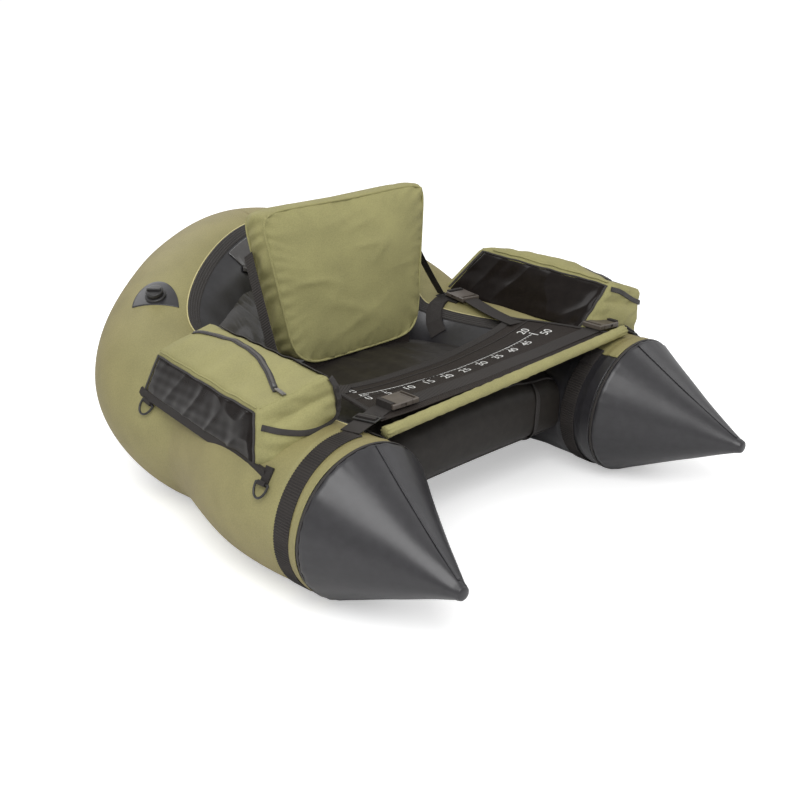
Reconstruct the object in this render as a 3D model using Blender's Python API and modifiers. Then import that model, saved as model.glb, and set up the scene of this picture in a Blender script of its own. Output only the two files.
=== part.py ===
"""Float tube: a one-person inflatable fishing seat.

Two inflated bladders lie in a horseshoe of sewn covers, with a seat slung between the arms, a
folding backrest, a lap apron across the front and a gear bag on each arm.
Metres, +Z up. The open end of the horseshoe faces -Y. The origin is on the ground, at the centre.
"""
import math

import bmesh
import bpy
from mathutils import Matrix, Vector

# Clearance between pieces that touch, overrun of a cut, and the merge distance
FIT = 0.0003
HULL_FIT = 0.0005
SEAM_FIT = 0.0004
OVERRUN = 0.004
MERGE = 0.0001
BEVEL_LIMIT = math.radians(30.0)
SMOOTH_LIMIT = math.radians(40.0)

# Hull: an inflated tube on a horseshoe plan, rising at the stern
HULL_RADIUS = 0.147
KEEL_FLAT = math.radians(15.0)
RING_X, RING_Y = 0.392, -0.3632
SHOULDER_X, SHOULDER_Y = 0.3985, -0.1652
WAIST_X, WAIST_Y = 0.341, 0.0618
QUARTER_X, QUARTER_Y = 0.335, 0.3138
STERN_Y = 0.4788
RISE = 0.194
RISE_START_Y = 0.1418
RISE_POWER = 1.6
RING_LEAN = math.radians(3.2)
LEAN_FADE = 0.25
PATH_STEPS = 24
HULL_STATIONS = 12

# Seams of the hull covers, as angles round the tube from its outer side, over the top
LOWER_SEAM_STEPS = 1
OUTER_STEPS = 12
INNER_STEPS = 9
TOP_SEAM = math.radians(120.0)
COVER_WALL = 0.0016

# Cones that close the front ends of the hull
TIP_X, TIP_Y, TIP_Z = 0.4136, -0.6256, 0.1247
TIP_RADIUS = 0.013
CONE_COLLAR = 0.012
CONE_POWER = 1.06
CONE_SHARES = (0.22, 0.46, 0.70, 0.90, 1.0)
BLADDER_END_SHARE = 0.90

# Webbing, used for all straps
WEB_WIDTH = 0.038
WEB_THICK = 0.0016

# Strap wrapped round each arm, biting into the cover
WRAP_SETBACK = 0.048
WRAP_RAMP = 0.010
LEFT_WRAP_TOP, RIGHT_WRAP_TOP = math.radians(100.0), math.radians(52.0)
WRAP_END = math.radians(117.0)
END_PATCH_LENGTH = 0.044
END_PATCH_THICK = 0.0022

# Cover zip along the top seam
ZIP_WIDTH = 0.026
ZIP_THICK = 0.0016
ZIP_RIDGE = 0.0016
ZIP_PROFILE = ((-1.0, 0), (-0.84, 1), (-0.66, 1), (-0.48, 0), (-0.20, 0), (0.0, 1), (0.20, 0),
               (0.48, 0), (0.66, 1), (0.84, 1), (1.0, 0))

# Filling valves
VALVE_Y = 0.3678
VALVE_ANGLE = math.radians(88.0)
VALVE_PATCH_LENGTH = 0.060
VALVE_PATCH_WIDTH = 0.100
VALVE_PATCH_THICK = 0.0014
VALVE_PATCH_SETBACK_SHARE = 0.36
VALVE_PATCH_STEPS = 12
VALVE_PATCH_DEPTH_SHARE, VALVE_PATCH_RISE_SHARE = 0.25, 0.125
VALVE_FLANGE_RADIUS = 0.022
VALVE_FLANGE_HEIGHT = 0.004
VALVE_NECK_RADIUS = 0.0135
VALVE_NECK_HEIGHT = 0.007
VALVE_CAP_RADIUS = 0.0175
VALVE_CAP_HEIGHT = 0.009
VALVE_GRIP_HEIGHT = 0.006
VALVE_GRIP_THICK = 0.006
VALVE_GRIP_SHARE = 0.86
VALVE_SIDES = 20

# Seat cushion between the arms
SEAT_FRONT_Y, SEAT_REAR_Y = -0.2822, 0.1768
SEAT_BASE_Z, SEAT_TOP_Z = 0.077, 0.252
SEAT_CROWN = 0.034
SEAT_CROWN_REACH_SHARE = 0.625
SEAT_BITE_SHARE = 0.347
SEAT_SLICES = 12
SEAT_SIDES = 22
SEAT_ROUNDNESS = 3.2

# Backrest cushion
BACK_WIDTH, BACK_HEIGHT, BACK_GUSSET = 0.391, 0.311, 0.060
BACK_HINGE_Y, BACK_HINGE_Z = 0.0737, 0.2691
BACK_RECLINE = math.radians(8.4)
BACK_CROWN = 0.024
BACK_DRAW_IN = 0.007
BACK_CORNER = 0.030
BACK_CORNER_SHARE = 0.35
BACK_CORNER_POWER, BACK_CROWN_POWER, BACK_SWELL_POWER = 6, 4, 9
BACK_CUTS = 7
HINGE_WEB_WIDTH = 0.300
HINGE_WEB_THICK = 0.0022

# Straps that hold the backrest up, from its rear corners to the junctions on the arms
STRAP_UP = 0.215
STRAP_WIDTH = 0.026
STRAP_REAR_INSET = 0.016

# Lap apron, its front sleeve and the bar in the sleeve
APRON_LEFT_FRONT, APRON_RIGHT_FRONT = -0.302, 0.372
APRON_LEFT_REAR, APRON_RIGHT_REAR = -0.264, 0.312
APRON_FRONT_Y = -0.3172
APRON_LEFT_REAR_Y, APRON_RIGHT_REAR_Y = -0.1332, -0.0832
APRON_REAR_BOW = 0.020
APRON_LEFT_Z, APRON_RIGHT_Z = 0.2905, 0.3010
APRON_SAG = 0.027
APRON_FRONT_SAG_SHARE, APRON_REAR_SAG_SHARE = 0.22, 0.60
APRON_THICK = 0.0024
APRON_TAB_SHARE = 0.33
APRON_COLUMNS, APRON_ROWS = 18, 7
APRON_BEYOND = 0.003
SLEEVE_LEFT, SLEEVE_RIGHT = -0.303, 0.398
SLEEVE_RADIUS = 0.0100
SLEEVE_WALL = 0.0012
SLEEVE_SIDES = 10
BAR_RADIUS = 0.0080
BAR_INSET = 0.012

# Side-release buckles
BUCKLE_WIDTH = 0.048
BUCKLE_HEIGHT = 0.0105
SOCKET_LENGTH = 0.034
SOCKET_WALL = 0.0022
BUCKLE_FRAME = 0.016
BUCKLE_SLOT = 0.0075
PRONG_LENGTH = 0.026
PRONG_WIDTH = 0.0055
GUIDE_LENGTH = 0.020
GUIDE_WIDTH = 0.010
BUCKLE_EDGE = 0.0016
WINDOW_LENGTH, WINDOW_HEIGHT = 0.014, 0.0056
RELEASE_TRAVEL = 0.032
EYE_GAP = 0.0008

# Front buckles, on the band of webbing along the apron, and the adjusters beside them
FRONT_WEB_Y = -0.2772
LEFT_MOUTH_X, RIGHT_MOUTH_X = -0.207, 0.366
FRONT_STEPS = 5
ADJUSTER_LENGTH, ADJUSTER_WIDTH, ADJUSTER_THICK = 0.026, 0.046, 0.0032
ADJUSTER_SLOT, ADJUSTER_BAR = 0.0060, 0.0050
LEFT_ADJUSTER_X, RIGHT_ADJUSTER_X = -0.318, 0.453
LEFT_STRAP_START, RIGHT_STRAP_START = -0.374, 0.480
STRAP_APPROACH = 0.012
STRAP_SLACK = 0.0006

# Junctions on the arms behind the apron: a crossing patch, a hanging tail and a rear buckle
LEFT_JUNCTION_Y, RIGHT_JUNCTION_Y = 0.0038, 0.1268
JUNCTION_ANGLE = math.radians(98.0)
CROSS_LENGTH = 0.096
CROSS_WIDTH = 0.026
CROSS_THICK = 0.0022
TAIL_TOP, TAIL_END = math.radians(84.0), math.radians(141.0)
TAIL_LEAN = 0.060
TAIL_THICK = 0.0024
TAIL_RISE = ZIP_THICK + ZIP_RIDGE + 2 * FIT
TAIL_STEPS = 6
TAIL_RAISED_SHARES = (0.45, 0.90)
CROSS_STEPS = 4
STRAP_FOOT_BACK = 0.036
REAR_MOUTH_BACK = 0.066

# Gear bags on the arms: corners along X and Y, and up or down from the crest of the arm
BAG_BASE_IN_REAR = (0.357, 0.2068, -0.0307)
BAG_BASE_IN_FRONT = (0.404, -0.2052, -0.0307)
BAG_BASE_OUT_REAR = (0.470, 0.2048, -0.0527)
BAG_BASE_OUT_FRONT = (0.513, -0.2352, -0.0667)
BAG_TOP_IN_REAR = (0.362, 0.1018, 0.0933)
BAG_TOP_IN_FRONT = (0.394, -0.2512, 0.0913)
BAG_TOP_OUT_REAR = (0.464, 0.1388, 0.0523)
BAG_TOP_OUT_FRONT = (0.508, -0.2332, 0.0533)
RIGHT_BAG_LEAN = (0.056, 0.030)
BAG_CROWN = 0.010
BAG_CUTS = 3
BAG_EDGE = 0.009
BAG_EDGE_SEGMENTS = 2
PANEL_THICK = 0.0026
PANEL_SHARES = (-0.90, 0.88, -0.63, 0.84)
FOOT_SHARES = (-1.10, 0.98, -1.0, -0.66)
POCKET_DEPTH = 0.022
POCKET_SHARES = (-0.88, 0.88, -0.80, 0.30)
POCKET_STEPS = 5
BAG_ZIP_WIDTH = 0.012
BAG_ZIP_PROUD = 0.0022
BAG_ZIP_SHARES = ((0.80, -0.05), (0.55, -0.32), (0.20, -0.44), (-0.20, -0.38), (-0.60, -0.12),
                  (-0.84, 0.12))
PULL_LENGTH, PULL_WIDTH, PULL_THICK = 0.026, 0.008, 0.0018
PULL_EYE = 0.0022
PULL_LIFT = 0.0018
PULL_SHARES = (-0.88, 0.14)

# Webbing along each bag's outer foot, with a D-ring at both ends
FOOT_THICK = 0.0030
RING_ANGLE = math.radians(32.0)
RING_REAR_Y, RING_FRONT_Y = 0.1998, -0.2502
LOOP_TAIL = 0.027
RING_WIDTH, RING_DEPTH = 0.030, 0.026
RING_WIRE = 0.0022
RING_POINTS = 8
RING_GAP = 0.0006
LOOP_WIDTH = 0.018
LOOP_WALL = 0.0014
RING_LIFT = 0.0052

# Cargo deck between the seat and the stern, in two panels that meet at a zip
DECK_FRONT_Y = 0.1898
DECK_ANGLE = math.radians(125.0)
DECK_BITE = 0.010
DECK_MEET_X = 0.165
DECK_FRONT_DROP, DECK_MIDDLE_DROP = 0.040, 0.070
DECK_ZIP_ANGLE, DECK_ZIP_STANDOFF = math.radians(178.0), 0.020
DECK_ZIP_BITE = 0.003
DECK_THICK = 0.0018
DECK_COLUMNS, DECK_ROWS = 16, 6
SKIRT_SHARE, SKIRT_ROWS = 0.78, 3
SKIRT_TOP = math.radians(127.0)
DECK_FOLD = 0.006
DECK_GAP = 0.002

# Colours, roughness and metal share of each finish
OLIVE_CLOTH = ((0.32, 0.30, 0.135), 0.80)
HULL_OLIVE = ((0.29, 0.275, 0.13), 0.72)
BLACK_COATED = ((0.030, 0.029, 0.031), 0.42)
BLACK_WEBBING = ((0.036, 0.030, 0.028), 0.85)
BLACK_CLOTH = ((0.040, 0.034, 0.031), 0.78)
GREY_PLASTIC = ((0.085, 0.080, 0.075), 0.45)
BLACK_PLASTIC = ((0.018, 0.018, 0.018), 0.35)
BLADDER_FILM = ((0.55, 0.56, 0.57), 0.35)
ALUMINIUM = ((0.60, 0.60, 0.61), 0.30)


def clear_scene():
    """Remove what the scene holds, so that the model starts empty."""
    for old in list(bpy.data.objects):
        bpy.data.objects.remove(old, do_unlink=True)


clear_scene()
PARTS = bpy.data.collections.new("float_tube")
CUTTERS = bpy.data.collections.new("float_tube_cutters")
for group in (PARTS, CUTTERS):
    bpy.context.scene.collection.children.link(group)


def finish(name, look, metallic=0.0):
    """A Principled material with one colour and roughness."""
    colour, roughness = look
    made = bpy.data.materials.new(name)
    made.use_nodes = True
    shader = made.node_tree.nodes["Principled BSDF"]
    shader.inputs["Base Color"].default_value = (*colour, 1.0)
    shader.inputs["Roughness"].default_value = roughness
    shader.inputs["Metallic"].default_value = metallic
    return made


def add_object(name, mesh, look, metallic=0.0, collection=PARTS):
    """Link a mesh as a named object with its own material, shaded smooth between sharp edges."""
    piece = bpy.data.objects.new(name, mesh)
    mesh.shade_smooth()
    mesh.set_sharp_from_angle(angle=SMOOTH_LIMIT)
    mesh.materials.append(finish(name, look, metallic))
    collection.objects.link(piece)
    return piece


def add_cutter(name, mesh):
    """Link a mesh as a hidden cutter."""
    cutter = bpy.data.objects.new(name, mesh)
    cutter.hide_render = True
    cutter.display_type = "WIRE"
    CUTTERS.objects.link(cutter)
    return cutter


def mesh_from(name, build):
    """Make a mesh from a bmesh that the function `build` fills, with its faces turned outwards."""
    shape = bmesh.new()
    build(shape)
    bmesh.ops.recalc_face_normals(shape, faces=shape.faces)
    if all(edge.is_manifold for edge in shape.edges) and shape.calc_volume(signed=True) < 0.0:
        bmesh.ops.reverse_faces(shape, faces=shape.faces)
    mesh = bpy.data.meshes.new(name)
    shape.to_mesh(mesh)
    shape.free()
    return mesh


def boolean(piece, cutter, operation="DIFFERENCE"):
    """Cut a piece with another object, or join the other to it."""
    step = piece.modifiers.new(operation.title(), "BOOLEAN")
    step.operation = operation
    step.object = cutter
    step.solver = "EXACT"
    return step


def bevel(piece, width, segments=1):
    """Break the edges that are sharper than the bevel limit."""
    step = piece.modifiers.new("Bevel", "BEVEL")
    step.width = width
    step.segments = segments
    step.limit_method = "ANGLE"
    step.angle_limit = BEVEL_LIMIT
    return step


def set_origin(piece, place):
    """Move a piece's origin and axes to a place and leave its shape where it is."""
    piece.data.transform(place.inverted())
    piece.matrix_world = place


def loft(shape, rows, closed=True, caps=True, split=False):
    """Join rows of points; closed rows form a tube, and split quads all bend along one diagonal."""
    rings = [[shape.verts.new(point) for point in row] for row in rows]
    count = len(rings[0])
    for near, far in zip(rings, rings[1:]):
        for i in range(count if closed else count - 1):
            j = (i + 1) % count
            if split:
                shape.faces.new((near[i], near[j], far[j]))
                shape.faces.new((near[i], far[j], far[i]))
            else:
                shape.faces.new((near[i], near[j], far[j], far[i]))
    if closed and caps:
        shape.faces.new(rings[0])
        shape.faces.new(rings[-1])


def slab(shape, lower, upper):
    """A closed sheet between two matching grids of points."""
    below = [[shape.verts.new(point) for point in row] for row in lower]
    above = [[shape.verts.new(point) for point in row] for row in upper]
    last_row, last = len(below) - 1, len(below[0]) - 1
    for grid in (below, above):
        for near, far in zip(grid, grid[1:]):
            for i in range(last):
                shape.faces.new((near[i], near[i + 1], far[i + 1], far[i]))
    for row in (0, last_row):
        for i in range(last):
            shape.faces.new((below[row][i], below[row][i + 1], above[row][i + 1], above[row][i]))
    for column in (0, last):
        for i in range(last_row):
            shape.faces.new((below[i][column], below[i + 1][column],
                             above[i + 1][column], above[i][column]))


def box_mesh(name, size, centre=(0.0, 0.0, 0.0), turn=None):
    """A box of the given size, moved to its centre and turned about the origin if asked."""
    def build(shape):
        place = Matrix.Translation(centre) @ Matrix.Diagonal((*size, 1.0))
        bmesh.ops.create_cube(shape, size=1.0, matrix=(turn @ place) if turn else place)
    return mesh_from(name, build)


# Hull axis: a smooth curve through the plan's corners, from the ring to the stern
def plan_curve():
    """Points on the right half of the hull axis and the distance of each from the ring."""
    knots = [Vector((TIP_X, TIP_Y)), Vector((RING_X, RING_Y)), Vector((SHOULDER_X, SHOULDER_Y)),
             Vector((WAIST_X, WAIST_Y)), Vector((QUARTER_X, QUARTER_Y)), Vector((0.0, STERN_Y)),
             Vector((-QUARTER_X, QUARTER_Y))]
    spans = [math.sqrt((b - a).length) for a, b in zip(knots, knots[1:])]
    points = []
    for k in range(1, len(knots) - 2):
        before, span, after = spans[k - 1], spans[k], spans[k + 1]
        a, b, c, d = knots[k - 1:k + 3]
        leave = (b - a) / before - (c - a) / (before + span) + (c - b) / span
        arrive = (c - b) / span - (d - b) / (span + after) + (d - c) / after
        for i in range(PATH_STEPS):
            t = i / PATH_STEPS
            points.append((2 * t**3 - 3 * t**2 + 1) * b + (t**3 - 2 * t**2 + t) * span * leave
                          + (3 * t**2 - 2 * t**3) * c + (t**3 - t**2) * span * arrive)
    points.append(knots[-2])
    distances = [0.0]
    for near, far in zip(points, points[1:]):
        distances.append(distances[-1] + (far - near).length)
    return points, distances


PLAN_POINTS, PLAN_DISTANCES = plan_curve()
HULL_LENGTH = PLAN_DISTANCES[-1]


def plan_point(distance):
    """The point of the hull axis, in plan, at a distance behind the ring."""
    for i, far in enumerate(PLAN_DISTANCES[1:]):
        if distance <= far:
            near = PLAN_DISTANCES[i]
            share = (distance - near) / (far - near)
            return PLAN_POINTS[i].lerp(PLAN_POINTS[i + 1], share)
    return PLAN_POINTS[-1].copy()


def distance_at(y):
    """The distance behind the ring at which the arm's axis reaches y."""
    for i, point in enumerate(PLAN_POINTS[1:]):
        if point.y >= y:
            near = PLAN_POINTS[i]
            share = (y - near.y) / (point.y - near.y)
            return PLAN_DISTANCES[i] + share * (PLAN_DISTANCES[i + 1] - PLAN_DISTANCES[i])
    return HULL_LENGTH


def axis_point(distance):
    """The hull axis in space, with the stern's rise."""
    plan = plan_point(distance)
    share = max(0.0, (plan.y - RISE_START_Y) / (STERN_Y - RISE_START_Y))
    height = HULL_RADIUS * math.cos(KEEL_FLAT / 2) + RISE * share**RISE_POWER
    return Vector((plan.x, plan.y, height))


def axis_frame(distance):
    """Axis point, direction towards the stern, outward direction and upward direction."""
    step = HULL_LENGTH / PATH_STEPS / 4
    near, far = max(0.0, distance - step), min(HULL_LENGTH, distance + step)
    back = (axis_point(far) - axis_point(near)).normalized()
    if distance >= HULL_LENGTH - step:
        back = Vector((-1.0, 0.0, 0.0))
    out = Vector((back.y, -back.x, 0.0)).normalized()
    return axis_point(distance), back, out, out.cross(back)


def wrap_bite(distance):
    """How far the strap round the arm presses the cover in."""
    beside = abs(distance - WRAP_SETBACK) - WEB_WIDTH / 2 - FIT
    return (WEB_THICK + 2 * FIT) * min(1.0, max(0.0, 1.0 - beside / WRAP_RAMP))


def hull_point(distance, angle, lift=0.0, side=1):
    """A point on the cover, by distance behind the ring and angle round the tube."""
    centre, back, out, up = axis_frame(distance)
    radius = HULL_RADIUS - wrap_bite(distance) + lift
    lean = math.tan(RING_LEAN) * max(0.0, 1.0 - distance / LEAN_FADE)
    point = centre + out * radius * math.cos(angle) + up * radius * math.sin(angle)
    point -= back * radius * math.sin(angle) * lean
    return Vector((side * point.x, point.y, point.z))


def hull_normal(distance, angle, side=1):
    """The direction that faces away from the cover."""
    _, _, out, up = axis_frame(distance)
    away = out * math.cos(angle) + up * math.sin(angle)
    return Vector((side * away.x, away.y, away.z))


def section_angles():
    """Angles of the section's corners: the keel flat, the outer panel and the inner panel."""
    start = KEEL_FLAT / 2 - math.pi / 2
    count = LOWER_SEAM_STEPS + OUTER_STEPS
    outer = [start + (TOP_SEAM - start) * i / count for i in range(count)]
    end = 1.5 * math.pi - KEEL_FLAT / 2
    inner = [TOP_SEAM + (end - TOP_SEAM) * i / INNER_STEPS for i in range(INNER_STEPS + 1)]
    return outer + inner


SECTION = section_angles()
LOWER_SEAM = SECTION[LOWER_SEAM_STEPS]
SEAM_HALF_ANGLE = SEAM_FIT / HULL_RADIUS
OUTER_ANGLES = ([LOWER_SEAM + SEAM_HALF_ANGLE]
                + SECTION[LOWER_SEAM_STEPS + 1:LOWER_SEAM_STEPS + OUTER_STEPS]
                + [TOP_SEAM - SEAM_HALF_ANGLE])
INNER_ANGLES = ([TOP_SEAM + SEAM_HALF_ANGLE] + SECTION[LOWER_SEAM_STEPS + OUTER_STEPS + 1:]
                + [2 * math.pi + SECTION[0], 2 * math.pi + LOWER_SEAM - SEAM_HALF_ANGLE])


def hull_stations():
    """Distances of the sections: at the ring, round the strap's bite, then evenly to the stern."""
    half = WEB_WIDTH / 2 + FIT
    first = [WRAP_SETBACK - half - WRAP_RAMP, WRAP_SETBACK - half,
             WRAP_SETBACK + half, WRAP_SETBACK + half + WRAP_RAMP]
    rest = HULL_LENGTH - SEAM_FIT - first[-1]
    return [SEAM_FIT] + first + [first[-1] + rest * (i + 1) / HULL_STATIONS
                                 for i in range(HULL_STATIONS)]


STATIONS = hull_stations()


def cone_section(share, angles, shrink=0.0, side=1):
    """A section of a front cone; share 0 is the ring's collar and 1 the tip."""
    ring, back, out, up = axis_frame(0.0)
    ring = ring - back * (CONE_COLLAR + SEAM_FIT)
    centre = ring.lerp(Vector((TIP_X, TIP_Y, TIP_Z)), share)
    radius = (HULL_RADIUS - TIP_RADIUS) * (1.0 - share)**CONE_POWER + TIP_RADIUS - shrink
    lean = math.tan(RING_LEAN) * (1.0 - share)
    row = []
    for angle in angles:
        point = centre + out * radius * math.cos(angle) + up * radius * math.sin(angle)
        point -= back * radius * math.sin(angle) * lean
        row.append(Vector((side * point.x, point.y, point.z)))
    return row


def ring_section(angles, shrink=0.0, side=1):
    """The section at the ring, on the cone's side of the seam."""
    _, back, _, _ = axis_frame(0.0)
    ahead = Vector((side * back.x, back.y, back.z)) * 2 * SEAM_FIT
    return [hull_point(SEAM_FIT, angle, -shrink, side) - ahead for angle in angles]


def hull_body(name, lift, side):
    """A closed body inside or just outside the cover, from the cone to the stern."""
    wall_share = 1.0 / math.cos(math.atan2(HULL_RADIUS, RING_Y - TIP_Y))
    shrink = -lift if lift < 0.0 else 0.0
    ends = [s for s in reversed(CONE_SHARES) if s <= BLADDER_END_SHARE]

    def build(shape):
        rows = [cone_section(s, SECTION, shrink * wall_share, side) for s in ends]
        rows.append(cone_section(0.0, SECTION, shrink, side))
        rows += [[hull_point(s, a, lift, side) for a in SECTION] for s in STATIONS]
        if lift > 0.0:
            rows.append([Vector((-side * OVERRUN, p.y, p.z)) for p in rows[-1]])
        loft(shape, rows, split=True)
    return mesh_from(name, build)


def add_cover(name, angles, look, side):
    """One sewn panel of the hull's cover, as a sheet with the cloth's thickness."""
    def build(shape):
        rows = [[hull_point(s, a, 0.0, side) for a in angles] for s in STATIONS]
        loft(shape, rows, closed=False, split=True)
    cover = add_object(name, mesh_from(name, build), look)
    thicken(cover, COVER_WALL, outward_sign(cover, side))
    return cover


def outward_sign(piece, side):
    """Whether the sheet's faces point away from the hull's axis: 1 if so, otherwise -1."""
    face = piece.data.polygons[len(piece.data.polygons) // 2]
    distance = distance_at(min(face.center.y, QUARTER_Y))
    centre = axis_point(distance)
    away = face.center - Vector((side * centre.x, centre.y, centre.z))
    return 1 if face.normal.dot(away) > 0 else -1


def thicken(piece, wall, sign):
    """Give an open sheet its wall, on its inner side."""
    step = piece.modifiers.new("Wall", "SOLIDIFY")
    step.thickness = wall
    step.offset = -1.0 * sign
    step.use_even_offset = True


def add_cone(name, side):
    """A hollow cone of coated cloth, welded to the front end of an arm."""
    def build(shape):
        rows = [ring_section(SECTION, 0.0, side), cone_section(0.0, SECTION, 0.0, side)]
        rows += [cone_section(s, SECTION, 0.0, side) for s in CONE_SHARES]
        loft(shape, rows, caps=False, split=True)
        shape.verts.ensure_lookup_table()
        shape.faces.new(shape.verts[-len(SECTION):])
    cone = add_object(name, mesh_from(name, build), BLACK_COATED)
    face = cone.data.polygons[0]
    centre = axis_point(0.0)
    away = face.center - Vector((side * centre.x, face.center.y, centre.z))
    thicken(cone, COVER_WALL, 1 if face.normal.dot(away) > 0 else -1)
    return cone


def add_hull():
    """Bladders, cover panels and cones of both arms, and the bodies that cut what sits on them."""
    cutters = {}
    for side, word in ((-1, "left"), (1, "right")):
        inside = -(COVER_WALL + 2 * FIT)
        add_object(f"{word}_bladder", hull_body(f"{word}_bladder", inside, side), BLADDER_FILM)
        add_cover(f"{word}_outer_cover", OUTER_ANGLES, HULL_OLIVE, side)
        add_cover(f"{word}_inner_cover", INNER_ANGLES, BLACK_COATED, side)
        add_cone(f"{word}_cone", side)
        cutters[side] = add_cutter(f"{word}_hull_clearance",
                                   hull_body(f"{word}_hull_clearance", HULL_FIT, side))
    return cutters


HULL = add_hull()


# Zip over the cover's top seam, with a coil and a piping at each side
def zip_mesh(side, grow=0.0):
    """A strip along the top seam: three ridges on a flat tape that reaches into the cover."""
    half = (ZIP_WIDTH / 2 + grow) / HULL_RADIUS
    low = [TOP_SEAM + half * s for s in (-1.0, 0.0, 1.0)]
    start = WRAP_SETBACK + (WEB_WIDTH + END_PATCH_LENGTH) / 2 + FIT

    def build(shape):
        rows = []
        for distance in [start] + [s for s in STATIONS if s > start + ZIP_WIDTH]:
            row = [flat_point(distance, a, -OVERRUN / 2, side) for a in low]
            for share, proud in reversed(ZIP_PROFILE):
                lift = FIT + ZIP_THICK + ZIP_RIDGE * proud + grow
                row.append(flat_point(distance, TOP_SEAM + half * share, lift, side))
            rows.append(row)
        loft(shape, rows)
    return mesh_from("zip", build)


def flat_point(distance, angle, lift, side):
    """A point over the section's flat side that holds the angle, between its two corners."""
    turn = 2 * math.pi
    angle = SECTION[0] + (angle - SECTION[0]) % turn
    corners = SECTION + [SECTION[0] + turn]
    for low, high in zip(corners, corners[1:]):
        if angle <= high:
            share = (angle - low) / (high - low)
            near = hull_point(distance, low, lift, side)
            return near.lerp(hull_point(distance, high, lift, side), share)
    return hull_point(distance, angle, lift, side)


ZIP_CLEARANCE = {}
for side, word in ((-1, "left"), (1, "right")):
    boolean(add_object(f"{word}_cover_zip", zip_mesh(side), BLACK_CLOTH), HULL[side])
    ZIP_CLEARANCE[side] = add_cutter(f"{word}_zip_clearance", zip_mesh(side, FIT))


# Patches and straps that lie on the hull
def hull_patch(name, look, side, route, width, thick, depth=OVERRUN):
    """A strip of cloth along a route of (distance, angle, rise) on the hull, cut to lie on it."""
    def build(shape):
        lower, upper = [], []
        for i, (distance, angle, rise) in enumerate(route):
            near, far = route[max(0, i - 1)], route[min(len(route) - 1, i + 1)]
            run = hull_point(*far[:2], 0.0, side) - hull_point(*near[:2], 0.0, side)
            away = hull_normal(distance, angle, side)
            across = away.cross(run).normalized() * width / 2
            middle = hull_point(distance, angle, 0.0, side)
            lower.append([middle + across * e - away * depth for e in (-1, 0, 1)])
            upper.append([middle + across * e + away * (FIT + thick + rise) for e in (-1, 0, 1)])
        slab(shape, lower, upper)
    patch = add_object(name, mesh_from(name, build), look)
    boolean(patch, HULL[side])
    return patch


def add_wrap(name, side, top):
    """The webbing round an arm, flush with the cover that it bites into, and its sewn end."""
    turn = 2 * math.pi
    angles = [top] + [a for a in reversed(SECTION) if a < top - MERGE]
    angles += [a - turn for a in reversed(SECTION) if a > WRAP_END + MERGE]
    angles.append(WRAP_END - turn)
    end = END_PATCH_LENGTH / HULL_RADIUS
    edges = (WRAP_SETBACK - WEB_WIDTH / 2, WRAP_SETBACK + WEB_WIDTH / 2)

    def build(shape):
        lower = [[flat_point(s, a, 2 * FIT, side) for a in angles] for s in edges]
        upper = [[flat_point(s, a, 2 * FIT + WEB_THICK, side) for a in angles] for s in edges]
        slab(shape, lower, upper)
    strap = add_object(name, mesh_from(name, build), BLACK_WEBBING)

    def build_end(shape):
        ends = [WRAP_END - turn, TOP_SEAM - turn, WRAP_END - turn + end]
        across = (edges[0] + FIT, edges[1] - FIT)
        lower = [[flat_point(s, a, 2 * FIT + WEB_THICK / 2, side) for a in ends] for s in across]
        upper = [[flat_point(s, a, 2 * FIT + WEB_THICK + END_PATCH_THICK, side) for a in ends]
                 for s in across]
        slab(shape, lower, upper)
    boolean(strap, add_cutter(f"{name}_end", mesh_from("end", build_end)), "UNION")


add_wrap("left_arm_strap", -1, LEFT_WRAP_TOP)
add_wrap("right_arm_strap", 1, RIGHT_WRAP_TOP)


# Filling valves: patch, body and screw cap
def valve_frame(side):
    """Place and turn of a valve: local Z away from the hull, local Y towards the stern."""
    distance = distance_at(VALVE_Y)
    point = hull_point(distance, VALVE_ANGLE, 0.0, side)
    away = hull_normal(distance, VALVE_ANGLE, side)
    _, back, _, _ = axis_frame(distance)
    back = Vector((side * back.x, back.y, back.z))
    across = back.cross(away).normalized()
    turn = Matrix((across, away.cross(across), away)).transposed().to_4x4()
    return Matrix.Translation(point) @ turn


def disc(shape, radius, low, high, place, sides=VALVE_SIDES):
    """A round body between two heights along the local Z of a place."""
    middle = Matrix.Translation((0.0, 0.0, (low + high) / 2))
    bmesh.ops.create_cone(shape, cap_ends=True, segments=sides, radius1=radius, radius2=radius,
                          depth=high - low, matrix=place @ middle)


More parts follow.
